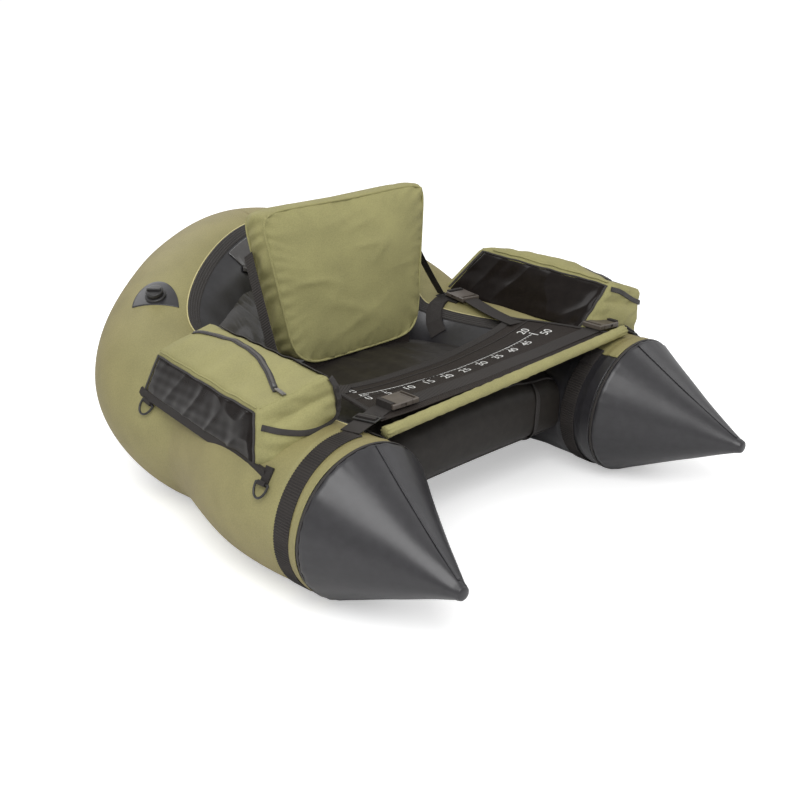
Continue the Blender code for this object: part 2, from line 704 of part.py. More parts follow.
def add_valve(word, side):
    """One valve: a half-moon patch, a flanged body and a cap with a grip across it."""
    place = valve_frame(side)
    half = VALVE_PATCH_WIDTH / 2
    front = -VALVE_PATCH_LENGTH * VALVE_PATCH_SETBACK_SHARE

    def outline(height):
        turns = [math.pi * i / VALVE_PATCH_STEPS for i in range(VALVE_PATCH_STEPS + 1)]
        return [place @ Vector((half * math.cos(turn),
                                front + VALVE_PATCH_LENGTH * math.sin(turn), height))
                for turn in turns]

    def build_patch(shape):
        loft(shape, [outline(-VALVE_PATCH_WIDTH * VALVE_PATCH_DEPTH_SHARE),
                     outline(VALVE_PATCH_WIDTH * VALVE_PATCH_RISE_SHARE)])
    patch = add_object(f"{word}_valve_patch", mesh_from("patch", build_patch), BLACK_COATED)
    boolean(patch, HULL[side])
    skin = add_cutter(f"{word}_patch_skin",
                      hull_body("patch_skin", FIT + VALVE_PATCH_THICK, side))
    boolean(patch, skin, "INTERSECT")

    seat = add_cutter(f"{word}_valve_seat",
                      hull_body("valve_seat", 2 * FIT + VALVE_PATCH_THICK, side))
    flange_top = VALVE_PATCH_THICK + VALVE_FLANGE_HEIGHT
    neck_top = flange_top + VALVE_NECK_HEIGHT

    def build_body(shape):
        disc(shape, VALVE_FLANGE_RADIUS, -OVERRUN, flange_top, place)

    def build_neck(shape):
        disc(shape, VALVE_NECK_RADIUS, 0.0, neck_top, place)
    body = add_object(f"{word}_valve_body", mesh_from("body", build_body), BLACK_PLASTIC)
    neck = add_cutter(f"{word}_valve_neck", mesh_from("neck", build_neck))
    boolean(body, neck, "UNION")
    boolean(body, seat)

    def build_cap(shape):
        disc(shape, VALVE_CAP_RADIUS, flange_top + FIT, neck_top + FIT + VALVE_CAP_HEIGHT / 2, place)
    cap = add_object(f"{word}_valve_cap", mesh_from("cap", build_cap), BLACK_PLASTIC)

    def build_bore(shape):
        disc(shape, VALVE_NECK_RADIUS + FIT, 0.0, neck_top + FIT, place)
    boolean(cap, add_cutter(f"{word}_cap_bore", mesh_from("bore", build_bore)))
    top = neck_top + FIT + VALVE_CAP_HEIGHT / 2
    grip_size = (2 * VALVE_CAP_RADIUS * VALVE_GRIP_SHARE, VALVE_GRIP_THICK, VALVE_GRIP_HEIGHT + OVERRUN / 2)
    grip_centre = (0.0, 0.0, top + VALVE_GRIP_HEIGHT / 2 - OVERRUN / 4)
    grip = add_cutter(f"{word}_cap_grip", box_mesh("grip", grip_size, grip_centre, place))
    boolean(cap, grip, "UNION")
    set_origin(cap, place)


for side, word in ((-1, "left"), (1, "right")):
    add_valve(word, side)


# Seat cushion, cut to press against both arms
def seat_section(x, lift=0.0):
    """The cushion's outline at x: a rounded slab that thins towards the arms."""
    rounding = 2.0 / SEAT_ROUNDNESS
    top = SEAT_TOP_Z - SEAT_CROWN * (x / (WAIST_X * SEAT_CROWN_REACH_SHARE))**2
    half_y = (SEAT_REAR_Y - SEAT_FRONT_Y) / 2 + lift
    half_z = (top - SEAT_BASE_Z) / 2 + lift
    middle = Vector((x, (SEAT_REAR_Y + SEAT_FRONT_Y) / 2, (top + SEAT_BASE_Z) / 2))
    row = []
    for i in range(SEAT_SIDES):
        angle = 2 * math.pi * (i + 0.5) / SEAT_SIDES
        c, s = math.cos(angle), math.sin(angle)
        y = math.copysign(abs(c)**rounding, c) * half_y
        z = math.copysign(abs(s)**rounding, s) * half_z
        row.append(middle + Vector((0.0, y, z)))
    return row


def seat_body(lift=0.0):
    """The cushion as a closed loft across the seat."""
    def build(shape):
        reach = WAIST_X - HULL_RADIUS * SEAT_BITE_SHARE
        xs = [reach * (2 * i / SEAT_SLICES - 1) for i in range(SEAT_SLICES + 1)]
        loft(shape, [seat_section(x, lift) for x in xs])
    return mesh_from("seat", build)


def add_seat():
    """The seat cushion."""
    seat = add_object("seat_cushion", seat_body(), BLACK_COATED)
    for side in (-1, 1):
        boolean(seat, HULL[side])
    return seat


add_seat()
SEAT_CLEARANCE = add_cutter("seat_clearance", seat_body(FIT))


# Backrest cushion: gusset, crowned faces and sides drawn in between the corners
BACK_TURN = (Matrix.Translation((0.0, BACK_HINGE_Y, BACK_HINGE_Z))
             @ Matrix.Rotation(-BACK_RECLINE, 4, "X"))


def cushion_point(a, b, c, grow=0.0):
    """Map a point of the unit cube to the cushion: a across, b through it and c up it."""
    draw_x = BACK_DRAW_IN * (1 - c * c)
    draw_z = BACK_DRAW_IN * (1 - a * a)
    corner = BACK_CORNER * BACK_CORNER_SHARE * abs(a * c)**BACK_CORNER_POWER
    x = a * (BACK_WIDTH / 2 - draw_x - corner)
    z = BACK_HEIGHT / 2 + c * (BACK_HEIGHT / 2 - (draw_z if c > 0 else 0.0) - corner)
    crown = BACK_CROWN * (1 - a**BACK_CROWN_POWER) * (1 - c**BACK_CROWN_POWER)
    y = BACK_GUSSET / 2 + b * (BACK_GUSSET / 2 + crown)
    side_swell = BACK_DRAW_IN * (1 - b * b)
    x += math.copysign(side_swell * abs(a)**BACK_SWELL_POWER, a)
    z += side_swell * max(0.0, c)**BACK_SWELL_POWER
    return Vector((x + a * grow, y + b * grow, z + c * grow))


def backrest_mesh(grow=0.0):
    """The cushion in its own frame, with its front lower seam on the local X axis."""
    def build(shape):
        bmesh.ops.create_cube(shape, size=2.0)
        bmesh.ops.subdivide_edges(shape, edges=shape.edges, cuts=BACK_CUTS, use_grid_fill=True)
        for vert in shape.verts:
            vert.co = cushion_point(*vert.co, grow)
    return mesh_from("backrest", build)


def add_backrest():
    """The backrest on its hinge line, and the cloth web that joins it to the seat."""
    hinge = bpy.data.objects.new("backrest_hinge", None)
    hinge.matrix_world = BACK_TURN
    PARTS.objects.link(hinge)
    backrest = add_object("backrest_cushion", backrest_mesh(), OLIVE_CLOTH)
    backrest.parent = hinge
    clearance = add_cutter("backrest_clearance", backrest_mesh(FIT))
    clearance.matrix_world = BACK_TURN
    height = BACK_HINGE_Z - SEAT_BASE_Z - SEAT_CROWN
    size = (HINGE_WEB_WIDTH, HINGE_WEB_THICK, height)
    centre = (0.0, BACK_HINGE_Y, BACK_HINGE_Z - FIT - height / 2)
    web = add_object("backrest_hinge_web", box_mesh("web", size, centre), BLACK_CLOTH)
    boolean(web, SEAT_CLEARANCE)


add_backrest()


# Lap apron: a printed cloth across the arms, sagging between them


def arm_top(x, y):
    """Height of the hull's skin over a plan point near an arm, or zero beside the arm."""
    centre = axis_point(distance_at(y))
    beside = abs(x) - centre.x
    inside = HULL_RADIUS**2 - beside**2
    return centre.z + math.sqrt(inside) if inside > 0.0 else 0.0


def apron_height(x, y):
    """Height of the apron's underside."""
    share = (x - APRON_LEFT_FRONT) / (APRON_RIGHT_FRONT - APRON_LEFT_FRONT)
    level = APRON_LEFT_Z + (APRON_RIGHT_Z - APRON_LEFT_Z) * share
    slack = (y - APRON_FRONT_Y) / (APRON_LEFT_REAR_Y - APRON_FRONT_Y)
    sag = APRON_SAG * (APRON_FRONT_SAG_SHARE + APRON_REAR_SAG_SHARE * slack)
    return max(level - sag * max(0.0, 4 * share * (1 - share)), arm_top(x, y) + 2 * HULL_FIT)


def apron_point(u, v):
    """Plan place of the apron at shares u across it and v from front to rear."""
    left = APRON_LEFT_FRONT + (APRON_LEFT_REAR - APRON_LEFT_FRONT) * v
    right = APRON_RIGHT_FRONT + (APRON_RIGHT_REAR - APRON_RIGHT_FRONT) * v
    rear = APRON_LEFT_REAR_Y + (APRON_RIGHT_REAR_Y - APRON_LEFT_REAR_Y) * u
    rear -= APRON_REAR_BOW * 4 * u * (1 - u)
    return left + (right - left) * u, APRON_FRONT_Y + (rear - APRON_FRONT_Y) * v


def apron_mesh(low=0.0, high=APRON_THICK, beyond=0.0):
    """The apron's sheet between two heights above its underside, with its edges moved outwards."""
    us = [-beyond] + [i / APRON_COLUMNS for i in range(1, APRON_COLUMNS)] + [1.0 + beyond]
    vs = [-beyond] + [j / APRON_ROWS for j in range(1, APRON_ROWS)] + [1.0 + beyond]

    def build(shape):
        lower, upper = [], []
        for v in vs:
            plan = [apron_point(u, v) for u in us]
            lower.append([Vector((x, y, apron_height(x, y) + low)) for x, y in plan])
            upper.append([Vector((x, y, apron_height(x, y) + high)) for x, y in plan])
        slab(shape, lower, upper)
    return mesh_from("lap_apron", build)


APRON = add_object("lap_apron", apron_mesh(), BLACK_CLOTH)
APRON_CLEARANCE = add_cutter("apron_clearance",
                             apron_mesh(-2 * OVERRUN, APRON_THICK + FIT, APRON_BEYOND))


def rod(shape, radius, near, far, sides):
    """A straight round body between two points."""
    run = far - near
    turn = run.to_track_quat("Z", "Y").to_matrix().to_4x4()
    place = Matrix.Translation((near + far) / 2) @ turn
    bmesh.ops.create_cone(shape, cap_ends=True, segments=sides, radius1=radius, radius2=radius,
                          depth=run.length, matrix=place)


def add_sleeve():
    """The apron's front sleeve and the spreader bar in it."""
    y = APRON_FRONT_Y - FIT - SLEEVE_RADIUS
    above = SLEEVE_RADIUS + 2 * HULL_FIT
    left = Vector((SLEEVE_LEFT, y, arm_top(SLEEVE_LEFT, y) + above))
    right = Vector((SLEEVE_RIGHT, y, arm_top(RING_X, y) + above))
    along = (right - left).normalized()
    drop = Vector((0.0, 0.0, (SLEEVE_RADIUS - SLEEVE_WALL - BAR_RADIUS) / 2))

    def build_sleeve(shape):
        rod(shape, SLEEVE_RADIUS, left, right, SLEEVE_SIDES)

    def build_bore(shape):
        rod(shape, SLEEVE_RADIUS - SLEEVE_WALL, left - along * OVERRUN, right + along * OVERRUN,
            SLEEVE_SIDES)

    def build_bar(shape):
        rod(shape, BAR_RADIUS, left + along * BAR_INSET - drop, right - along * BAR_INSET - drop,
            SLEEVE_SIDES)
    sleeve = add_object("apron_sleeve", mesh_from("apron_sleeve", build_sleeve), OLIVE_CLOTH)
    boolean(sleeve, add_cutter("sleeve_bore", mesh_from("sleeve_bore", build_bore)))
    add_object("spreader_bar", mesh_from("spreader_bar", build_bar), ALUMINIUM, 1.0)


add_sleeve()


# Side-release buckles, modelled along local X: the socket on its low side, the tongue on its high
def place_at(origin, along):
    """A frame at a point with local X along a direction and local Z as near upwards as it gets."""
    x = along.normalized()
    y = Vector((0.0, 0.0, 1.0)).cross(x).normalized()
    turn = Matrix((x, y, x.cross(y))).transposed().to_4x4()
    return Matrix.Translation(origin) @ turn


def block(shape, low, high, place):
    """A box between two opposite corners in a place's frame."""
    size = [b - a for a, b in zip(low, high)]
    middle = [(a + b) / 2 for a, b in zip(low, high)]
    bmesh.ops.create_cube(shape, size=1.0,
                          matrix=place @ Matrix.Translation(middle) @ Matrix.Diagonal((*size, 1.0)))


def block_mesh(name, low, high, place):
    """The mesh of one box between two opposite corners in a place's frame."""
    return mesh_from(name, lambda shape: block(shape, low, high, place))


BUCKLE_HALF_Y, BUCKLE_HALF_Z = BUCKLE_WIDTH / 2, BUCKLE_HEIGHT / 2
SOCKET_BACK = -SOCKET_LENGTH
HALF_BAR = (BUCKLE_FRAME - BUCKLE_SLOT) / 4
SOCKET_BAR_X = SOCKET_BACK - BUCKLE_FRAME + HALF_BAR
TONGUE_END_X = FIT + BUCKLE_FRAME
WEB_HALF_SLOT = WEB_WIDTH / 2 + SOCKET_WALL / 2


def add_socket(name, place):
    """The buckle's outer half: a flat case with an open mouth, two side windows and a slot."""
    half_y, half_z = BUCKLE_HALF_Y, BUCKLE_HALF_Z
    mesh = block_mesh("socket", (SOCKET_BACK - BUCKLE_FRAME, -half_y, -half_z),
                      (0.0, half_y, half_z), place)
    socket = add_object(name, mesh, GREY_PLASTIC)
    bevel(socket, BUCKLE_EDGE)
    inner_y, inner_z = half_y - SOCKET_WALL, half_z - SOCKET_WALL
    start = SOCKET_BACK + SOCKET_WALL
    window = start + SOCKET_WALL
    slot = SOCKET_BACK - (BUCKLE_FRAME + BUCKLE_SLOT) / 2
    cuts = {"hollow": ((start, -inner_y, -inner_z), (OVERRUN, inner_y, inner_z)),
            "window": ((window, -half_y - OVERRUN, -WINDOW_HEIGHT / 2),
                       (window + WINDOW_LENGTH, half_y + OVERRUN, WINDOW_HEIGHT / 2)),
            "slot": ((slot, -WEB_HALF_SLOT, -half_z - OVERRUN),
                     (slot + BUCKLE_SLOT, WEB_HALF_SLOT, half_z + OVERRUN))}
    for cut, (low, high) in cuts.items():
        boolean(socket, add_cutter(f"{name}_{cut}", block_mesh(cut, low, high, place)))
    return socket


def add_tongue(name, place):
    """The buckle's inner half: a slotted frame with two sprung arms and a guide between."""
    half_y, half_z = BUCKLE_HALF_Y, BUCKLE_HALF_Z
    mesh = block_mesh("tongue", (FIT, -half_y, -half_z), (TONGUE_END_X, half_y, half_z), place)
    tongue = add_object(name, mesh, GREY_PLASTIC)
    bevel(tongue, BUCKLE_EDGE)
    inner_y, inner_z = half_y - SOCKET_WALL - FIT, half_z - SOCKET_WALL - FIT
    prongs = {"near_arm": (-inner_y, PRONG_WIDTH - inner_y, PRONG_LENGTH),
              "far_arm": (inner_y - PRONG_WIDTH, inner_y, PRONG_LENGTH),
              "guide": (-GUIDE_WIDTH / 2, GUIDE_WIDTH / 2, GUIDE_LENGTH)}
    for part, (low_y, high_y, length) in prongs.items():
        mesh = block_mesh(part, (-length, low_y, -inner_z),
                          (FIT + BUCKLE_EDGE, high_y, inner_z), place)
        boolean(tongue, add_cutter(f"{name}_{part}", mesh), "UNION")
    slot = FIT + (BUCKLE_FRAME - BUCKLE_SLOT) / 2
    mesh = block_mesh("slot", (slot, -WEB_HALF_SLOT, -half_z - OVERRUN),
                      (slot + BUCKLE_SLOT, WEB_HALF_SLOT, half_z + OVERRUN), place)
    boolean(tongue, add_cutter(f"{name}_slot", mesh))
    set_origin(tongue, place)
    return tongue


def ribbon_mesh(name, path, width, thick, across=None):
    """A flat strap on a path of its underside, with its width level, or along `across`."""
    def build(shape):
        lower, upper = [], []
        for i, point in enumerate(path):
            run = path[min(len(path) - 1, i + 1)] - path[max(0, i - 1)]
            wide = (across or Vector((0.0, 0.0, 1.0)).cross(run)).normalized()
            away = run.cross(wide).normalized()
            away = -away if away.z < 0 else away
            lower.append([point - wide * width / 2, point + wide * width / 2])
            upper.append([p + away * thick for p in lower[-1]])
        slab(shape, lower, upper)
    return mesh_from(name, build)


def add_eye(strap, name, place, half_bar, low, high):
    """Fold a strap round a bar: low and high are the bar's faces, above the strap's underside."""
    out = half_bar + EYE_GAP + WEB_THICK
    half = WEB_WIDTH / 2 + FIT
    fold = block_mesh("fold", (-out, -half, low - EYE_GAP - WEB_THICK),
                      (out, half, high + EYE_GAP + WEB_THICK), place)
    boolean(strap, add_cutter(f"{name}_fold", fold), "UNION")
    eye = block_mesh("eye", (-half_bar - EYE_GAP, -WEB_WIDTH, low - EYE_GAP),
                     (half_bar + EYE_GAP, WEB_WIDTH, high + EYE_GAP), place)
    boolean(strap, add_cutter(f"{name}_eye", eye))


def surface_under(x):
    """Top of whatever a front buckle rests over at x: the apron, or the arm beside it."""
    if APRON_LEFT_FRONT < x < APRON_RIGHT_FRONT:
        return apron_height(x, FRONT_WEB_Y) + APRON_THICK
    return arm_top(x, FRONT_WEB_Y) + HULL_FIT


BAND_LIFT = 2 * FIT
BUCKLE_LIFT = BAND_LIFT + WEB_THICK + EYE_GAP + BUCKLE_HALF_Z


def front_place(mouth_x, sign):
    """Place of a front buckle whose tongue points along X times the sign, above what it spans."""
    reach = SOCKET_LENGTH + BUCKLE_FRAME
    slope = (surface_under(mouth_x + reach) - surface_under(mouth_x - reach)) / (2 * reach)
    released = (reach + RELEASE_TRAVEL) / reach
    xs = [mouth_x + sign * reach * (share * (released + 1) - 1)
          for share in (i / (2 * FRONT_STEPS) for i in range(2 * FRONT_STEPS + 1))]
    heights = [surface_under(x) for x in xs]
    above = max(h - slope * (x - mouth_x) for h, x in zip(heights, xs))
    origin = Vector((mouth_x, FRONT_WEB_Y, above + BUCKLE_LIFT))
    return place_at(origin, Vector((sign, 0.0, sign * slope)))


def add_adjuster(name, place):
    """A three-bar adjuster: a flat plate with two slots, resting on its strap."""
    low = WEB_THICK + EYE_GAP
    half_y = ADJUSTER_WIDTH / 2
    mesh = block_mesh("plate", (-ADJUSTER_LENGTH / 2, -half_y, low),
                      (ADJUSTER_LENGTH / 2, half_y, low + ADJUSTER_THICK), place)
    plate = add_object(name, mesh, BLACK_PLASTIC)
    for sign in (-1, 1):
        ends = sorted((sign * ADJUSTER_BAR / 2, sign * (ADJUSTER_BAR / 2 + ADJUSTER_SLOT)))
        slot = block_mesh("slot", (ends[0], -WEB_HALF_SLOT, 0.0),
                          (ends[1], WEB_HALF_SLOT, low + ADJUSTER_THICK + OVERRUN), place)
        boolean(plate, add_cutter(f"{name}_slot_{'fore' if sign > 0 else 'aft'}", slot))
    bevel(plate, BUCKLE_EDGE / 2)


def add_front_fastening(word, side, mouth_x, sign, adjuster_x, start_x):
    """A front buckle, the strap from the arm to its socket and the adjuster on the strap."""
    place = front_place(mouth_x, sign)
    add_socket(f"{word}_front_socket", place)
    add_tongue(f"{word}_front_tongue", place)
    under = -BUCKLE_HALF_Z - EYE_GAP - WEB_THICK
    bar = place @ Vector((SOCKET_BAR_X, 0.0, under))
    strap_y = RING_Y + WRAP_SETBACK
    start = Vector((start_x, strap_y, arm_top(start_x, strap_y) + 2 * HULL_FIT))
    share = (adjuster_x - start_x) / (bar.x - start_x)
    middle_y = strap_y + (bar.y - strap_y) * share
    level = max(surface_under(adjuster_x), arm_top(adjuster_x, middle_y) + 2 * HULL_FIT)
    straight = start.z + (bar.z - start.z) * share
    middle = Vector((adjuster_x, middle_y, max(level, straight) + STRAP_SLACK))
    near = place @ Vector((SOCKET_BAR_X - STRAP_APPROACH, 0.0, under))
    tip = place @ Vector((SOCKET_BAR_X + HALF_BAR, 0.0, under))
    strap = add_object(f"{word}_front_strap",
                       ribbon_mesh("strap", [start, middle, near, tip], WEB_WIDTH, WEB_THICK),
                       BLACK_WEBBING)
    add_eye(strap, f"{word}_socket", place @ Matrix.Translation((SOCKET_BAR_X, 0.0, 0.0)),
            HALF_BAR, -BUCKLE_HALF_Z, BUCKLE_HALF_Z)
    hold = place_at(middle, bar - start)
    low = WEB_THICK + EYE_GAP
    add_eye(strap, f"{word}_adjuster", hold, ADJUSTER_BAR / 2, low, low + ADJUSTER_THICK)
    boolean(strap, HULL[side])
    boolean(strap, APRON_CLEARANCE)
    add_adjuster(f"{word}_adjuster", hold)
    return place


LEFT_FRONT = add_front_fastening("left", -1, LEFT_MOUTH_X, 1, LEFT_ADJUSTER_X, LEFT_STRAP_START)
RIGHT_FRONT = add_front_fastening("right", 1, RIGHT_MOUTH_X, -1, RIGHT_ADJUSTER_X, RIGHT_STRAP_START)


def add_band():
    """The band of webbing on the apron between the two front tongues."""
    left = (LEFT_FRONT @ Vector((FIT + BUCKLE_EDGE, 0.0, 0.0))).x
    right = (RIGHT_FRONT @ Vector((FIT + BUCKLE_EDGE, 0.0, 0.0))).x

    def build(shape):
        lower, upper = [], []
        for i in range(APRON_COLUMNS + 1):
            x = left + (right - left) * i / APRON_COLUMNS
            row = []
            for e in (-1, 0, 1):
                y = FRONT_WEB_Y + e * WEB_WIDTH / 2
                row.append(Vector((x, y, apron_height(x, y) + APRON_THICK)))
            lower.append([p - Vector((0.0, 0.0, OVERRUN)) for p in row])
            upper.append([p + Vector((0.0, 0.0, BAND_LIFT + WEB_THICK)) for p in row])
        slab(shape, lower, upper)
    band = add_object("apron_band", mesh_from("apron_band", build), BLACK_WEBBING)
    boolean(band, APRON_CLEARANCE)


add_band()


# Junctions on the arms: webbing sewn along and across the crown, with a strap to a rear buckle
def add_junction(word, side, junction_y, corner):
    """Crossing patch, hanging tail and strap as one piece, and the rear buckle on the strap."""
    distance = distance_at(junction_y)
    half = CROSS_LENGTH / 2
    name = f"{word}_junction"
    over_zip, past_zip = TAIL_RAISED_SHARES
    tail = [(distance - TAIL_LEAN * share**2, TAIL_TOP + (TAIL_END - TAIL_TOP) * share,
             TAIL_RISE if over_zip < share < past_zip else 0.0)
            for share in (i / TAIL_STEPS for i in range(TAIL_STEPS + 1))]
    joined = hull_patch(name, BLACK_WEBBING, side, tail, WEB_WIDTH, TAIL_THICK)
    joined.modifiers.clear()
    cross = [(distance + half * (2 * i / CROSS_STEPS - 1), JUNCTION_ANGLE, 0.0)
             for i in range(CROSS_STEPS + 1)]
    cross = hull_patch(f"{name}_cross", BLACK_WEBBING, side, cross, CROSS_WIDTH, CROSS_THICK,
                       OVERRUN / 2)
    cross.modifiers.clear()
    boolean(joined, move_to_cutters(cross), "UNION")
    start = hull_point(distance, (TAIL_TOP + JUNCTION_ANGLE) / 2, HULL_FIT, side)
    start += hull_normal(distance, JUNCTION_ANGLE, side) * (TAIL_THICK - WEB_THICK / 2)
    level = arm_top(WAIST_X, WAIST_Y) + TAIL_THICK + WEB_THICK + EYE_GAP + BUCKLE_HALF_Z
    run = Vector((corner.x - start.x, corner.y - start.y, 0.0)).normalized()
    origin = Vector((start.x, start.y, level + 2 * HULL_FIT)) + run * REAR_MOUTH_BACK
    place = place_at(origin, run)
    under = -BUCKLE_HALF_Z - EYE_GAP - WEB_THICK
    tip = place @ Vector((SOCKET_BAR_X + HALF_BAR, 0.0, under))
    strap = add_cutter(f"{name}_strap",
                       ribbon_mesh("strap", [start, tip], WEB_WIDTH, WEB_THICK))
    boolean(joined, strap, "UNION")
    add_eye(joined, f"{word}_rear_socket", place @ Matrix.Translation((SOCKET_BAR_X, 0.0, 0.0)),
            HALF_BAR, -BUCKLE_HALF_Z, BUCKLE_HALF_Z)
    boolean(joined, HULL[side])
    boolean(joined, ZIP_CLEARANCE[side])
    add_socket(f"{word}_rear_socket", place)
    add_tongue(f"{word}_rear_tongue", place)
    near = place @ Vector((FIT + BUCKLE_EDGE, 0.0, under))
    end = place @ Vector((TONGUE_END_X + RELEASE_TRAVEL, 0.0, under))
    sewn = corner + Vector((0.0, 0.0, APRON_THICK * APRON_TAB_SHARE))
    tab = add_cutter(f"{word}_apron_tab",
                     ribbon_mesh("tab", [near, end, sewn], WEB_WIDTH, WEB_THICK))
    boolean(APRON, tab, "UNION")
    return place


def move_to_cutters(piece):
    """Turn a piece into a cutter that joins or cuts another."""
    PARTS.objects.unlink(piece)
    CUTTERS.objects.link(piece)
    piece.hide_render = True
    piece.display_type = "WIRE"
    return piece


def apron_corner(u):
    """A point on the apron's underside just inside a rear corner."""
    x, y = apron_point(u, 1.0 - 1.0 / APRON_ROWS)
    return Vector((x, y, apron_height(x, y)))


add_junction("left", -1, LEFT_JUNCTION_Y, apron_corner(1.0 / APRON_COLUMNS))
add_junction("right", 1, RIGHT_JUNCTION_Y, apron_corner(1.0 - 1.0 / APRON_COLUMNS))


def add_back_strap(word, side, junction_y):
    """The strap from the backrest's rear edge down to the junction on the arm."""
    top = BACK_TURN @ Vector((side * (BACK_WIDTH / 2 - OVERRUN), BACK_GUSSET - STRAP_REAR_INSET,
                              STRAP_UP))
    distance = distance_at(junction_y)
    foot = hull_point(distance + STRAP_FOOT_BACK, JUNCTION_ANGLE, 0.0, side)
    across = Vector((0.0, 1.0, 0.0))
    run = (foot - top).normalized()
    across = (across - run * across.dot(run)).normalized()
    strap = add_object(f"{word}_back_strap",
                       ribbon_mesh("strap", [top, foot], STRAP_WIDTH, WEB_THICK, across),
                       BLACK_WEBBING)
    boolean(strap, bpy.data.objects["backrest_clearance"])
    stack = 2 * HULL_FIT + CROSS_THICK + 2 * WEB_THICK
    boolean(strap, add_cutter(f"{word}_junction_clearance",
                              hull_body("junction_clearance", stack, side)))


add_back_strap("left", -1, LEFT_JUNCTION_Y)
add_back_strap("right", 1, RIGHT_JUNCTION_Y)


# Gear bags: a slanted box of cloth on each arm, with coated panels, a zip and a front pocket
BAG_CORNERS = {(-1, 1, -1): BAG_BASE_IN_REAR, (-1, -1, -1): BAG_BASE_IN_FRONT,
               (1, 1, -1): BAG_BASE_OUT_REAR, (1, -1, -1): BAG_BASE_OUT_FRONT,
               (-1, 1, 1): BAG_TOP_IN_REAR, (-1, -1, 1): BAG_TOP_IN_FRONT,
               (1, 1, 1): BAG_TOP_OUT_REAR, (1, -1, 1): BAG_TOP_OUT_FRONT}
HULL_CREST = Vector((0.0, 0.0, HULL_RADIUS * (1 + math.cos(KEEL_FLAT / 2))))


def bag_point(side, a, b, c, grow=0.0):
    """Map a unit cube to a bag: a from its inner to its outer side, b to the rear, c upwards."""
    point = HULL_CREST.copy()
    for (i, j, k), corner in BAG_CORNERS.items():
        lean = 0.0
        if side > 0 and k > 0:
            lean = RIGHT_BAG_LEAN[0] if i < 0 else RIGHT_BAG_LEAN[1]
        weight = (1 + a * i) * (1 + b * j) * (1 + c * k) / len(BAG_CORNERS)
        point += weight * (Vector(corner) + Vector((lean, 0.0, 0.0)))
    point.z += BAG_CROWN * max(0.0, 1 - a * a) * max(0.0, 1 - b * b) * max(0.0, c)
    point += Vector((a * grow, b * grow, c * grow))
    return Vector((side * point.x, point.y, point.z))


def bag_mesh(side, grow=0.0):
    """The bag as a closed body that reaches into the arm."""
    def build(shape):
        bmesh.ops.create_cube(shape, size=2.0)
        bmesh.ops.subdivide_edges(shape, edges=shape.edges, cuts=BAG_CUTS, use_grid_fill=True)
        for vert in shape.verts:
            vert.co = bag_point(side, *vert.co, grow)
    return mesh_from("bag", build)


def panel_mesh(side, face, shares, thick):
    """A sheet over the bag's outer (face 1) or inner (face -1) side."""
    low_b, high_b, low_c, high_c = shares
    steps = 2 * (BAG_CUTS + 1)

    def build(shape):
        lower, upper = [], []
        for j in range(steps + 1):
            b = low_b + (high_b - low_b) * j / steps
            cs = [low_c + (high_c - low_c) * i / steps for i in range(steps + 1)]
            row = [bag_point(side, face, b, c) for c in cs]
            out = Vector((side * face, 0.0, 0.0))
            lower.append([p - out * OVERRUN for p in row])
            upper.append([p + out * (FIT + thick) for p in row])
        slab(shape, lower, upper)
    return mesh_from("panel", build)


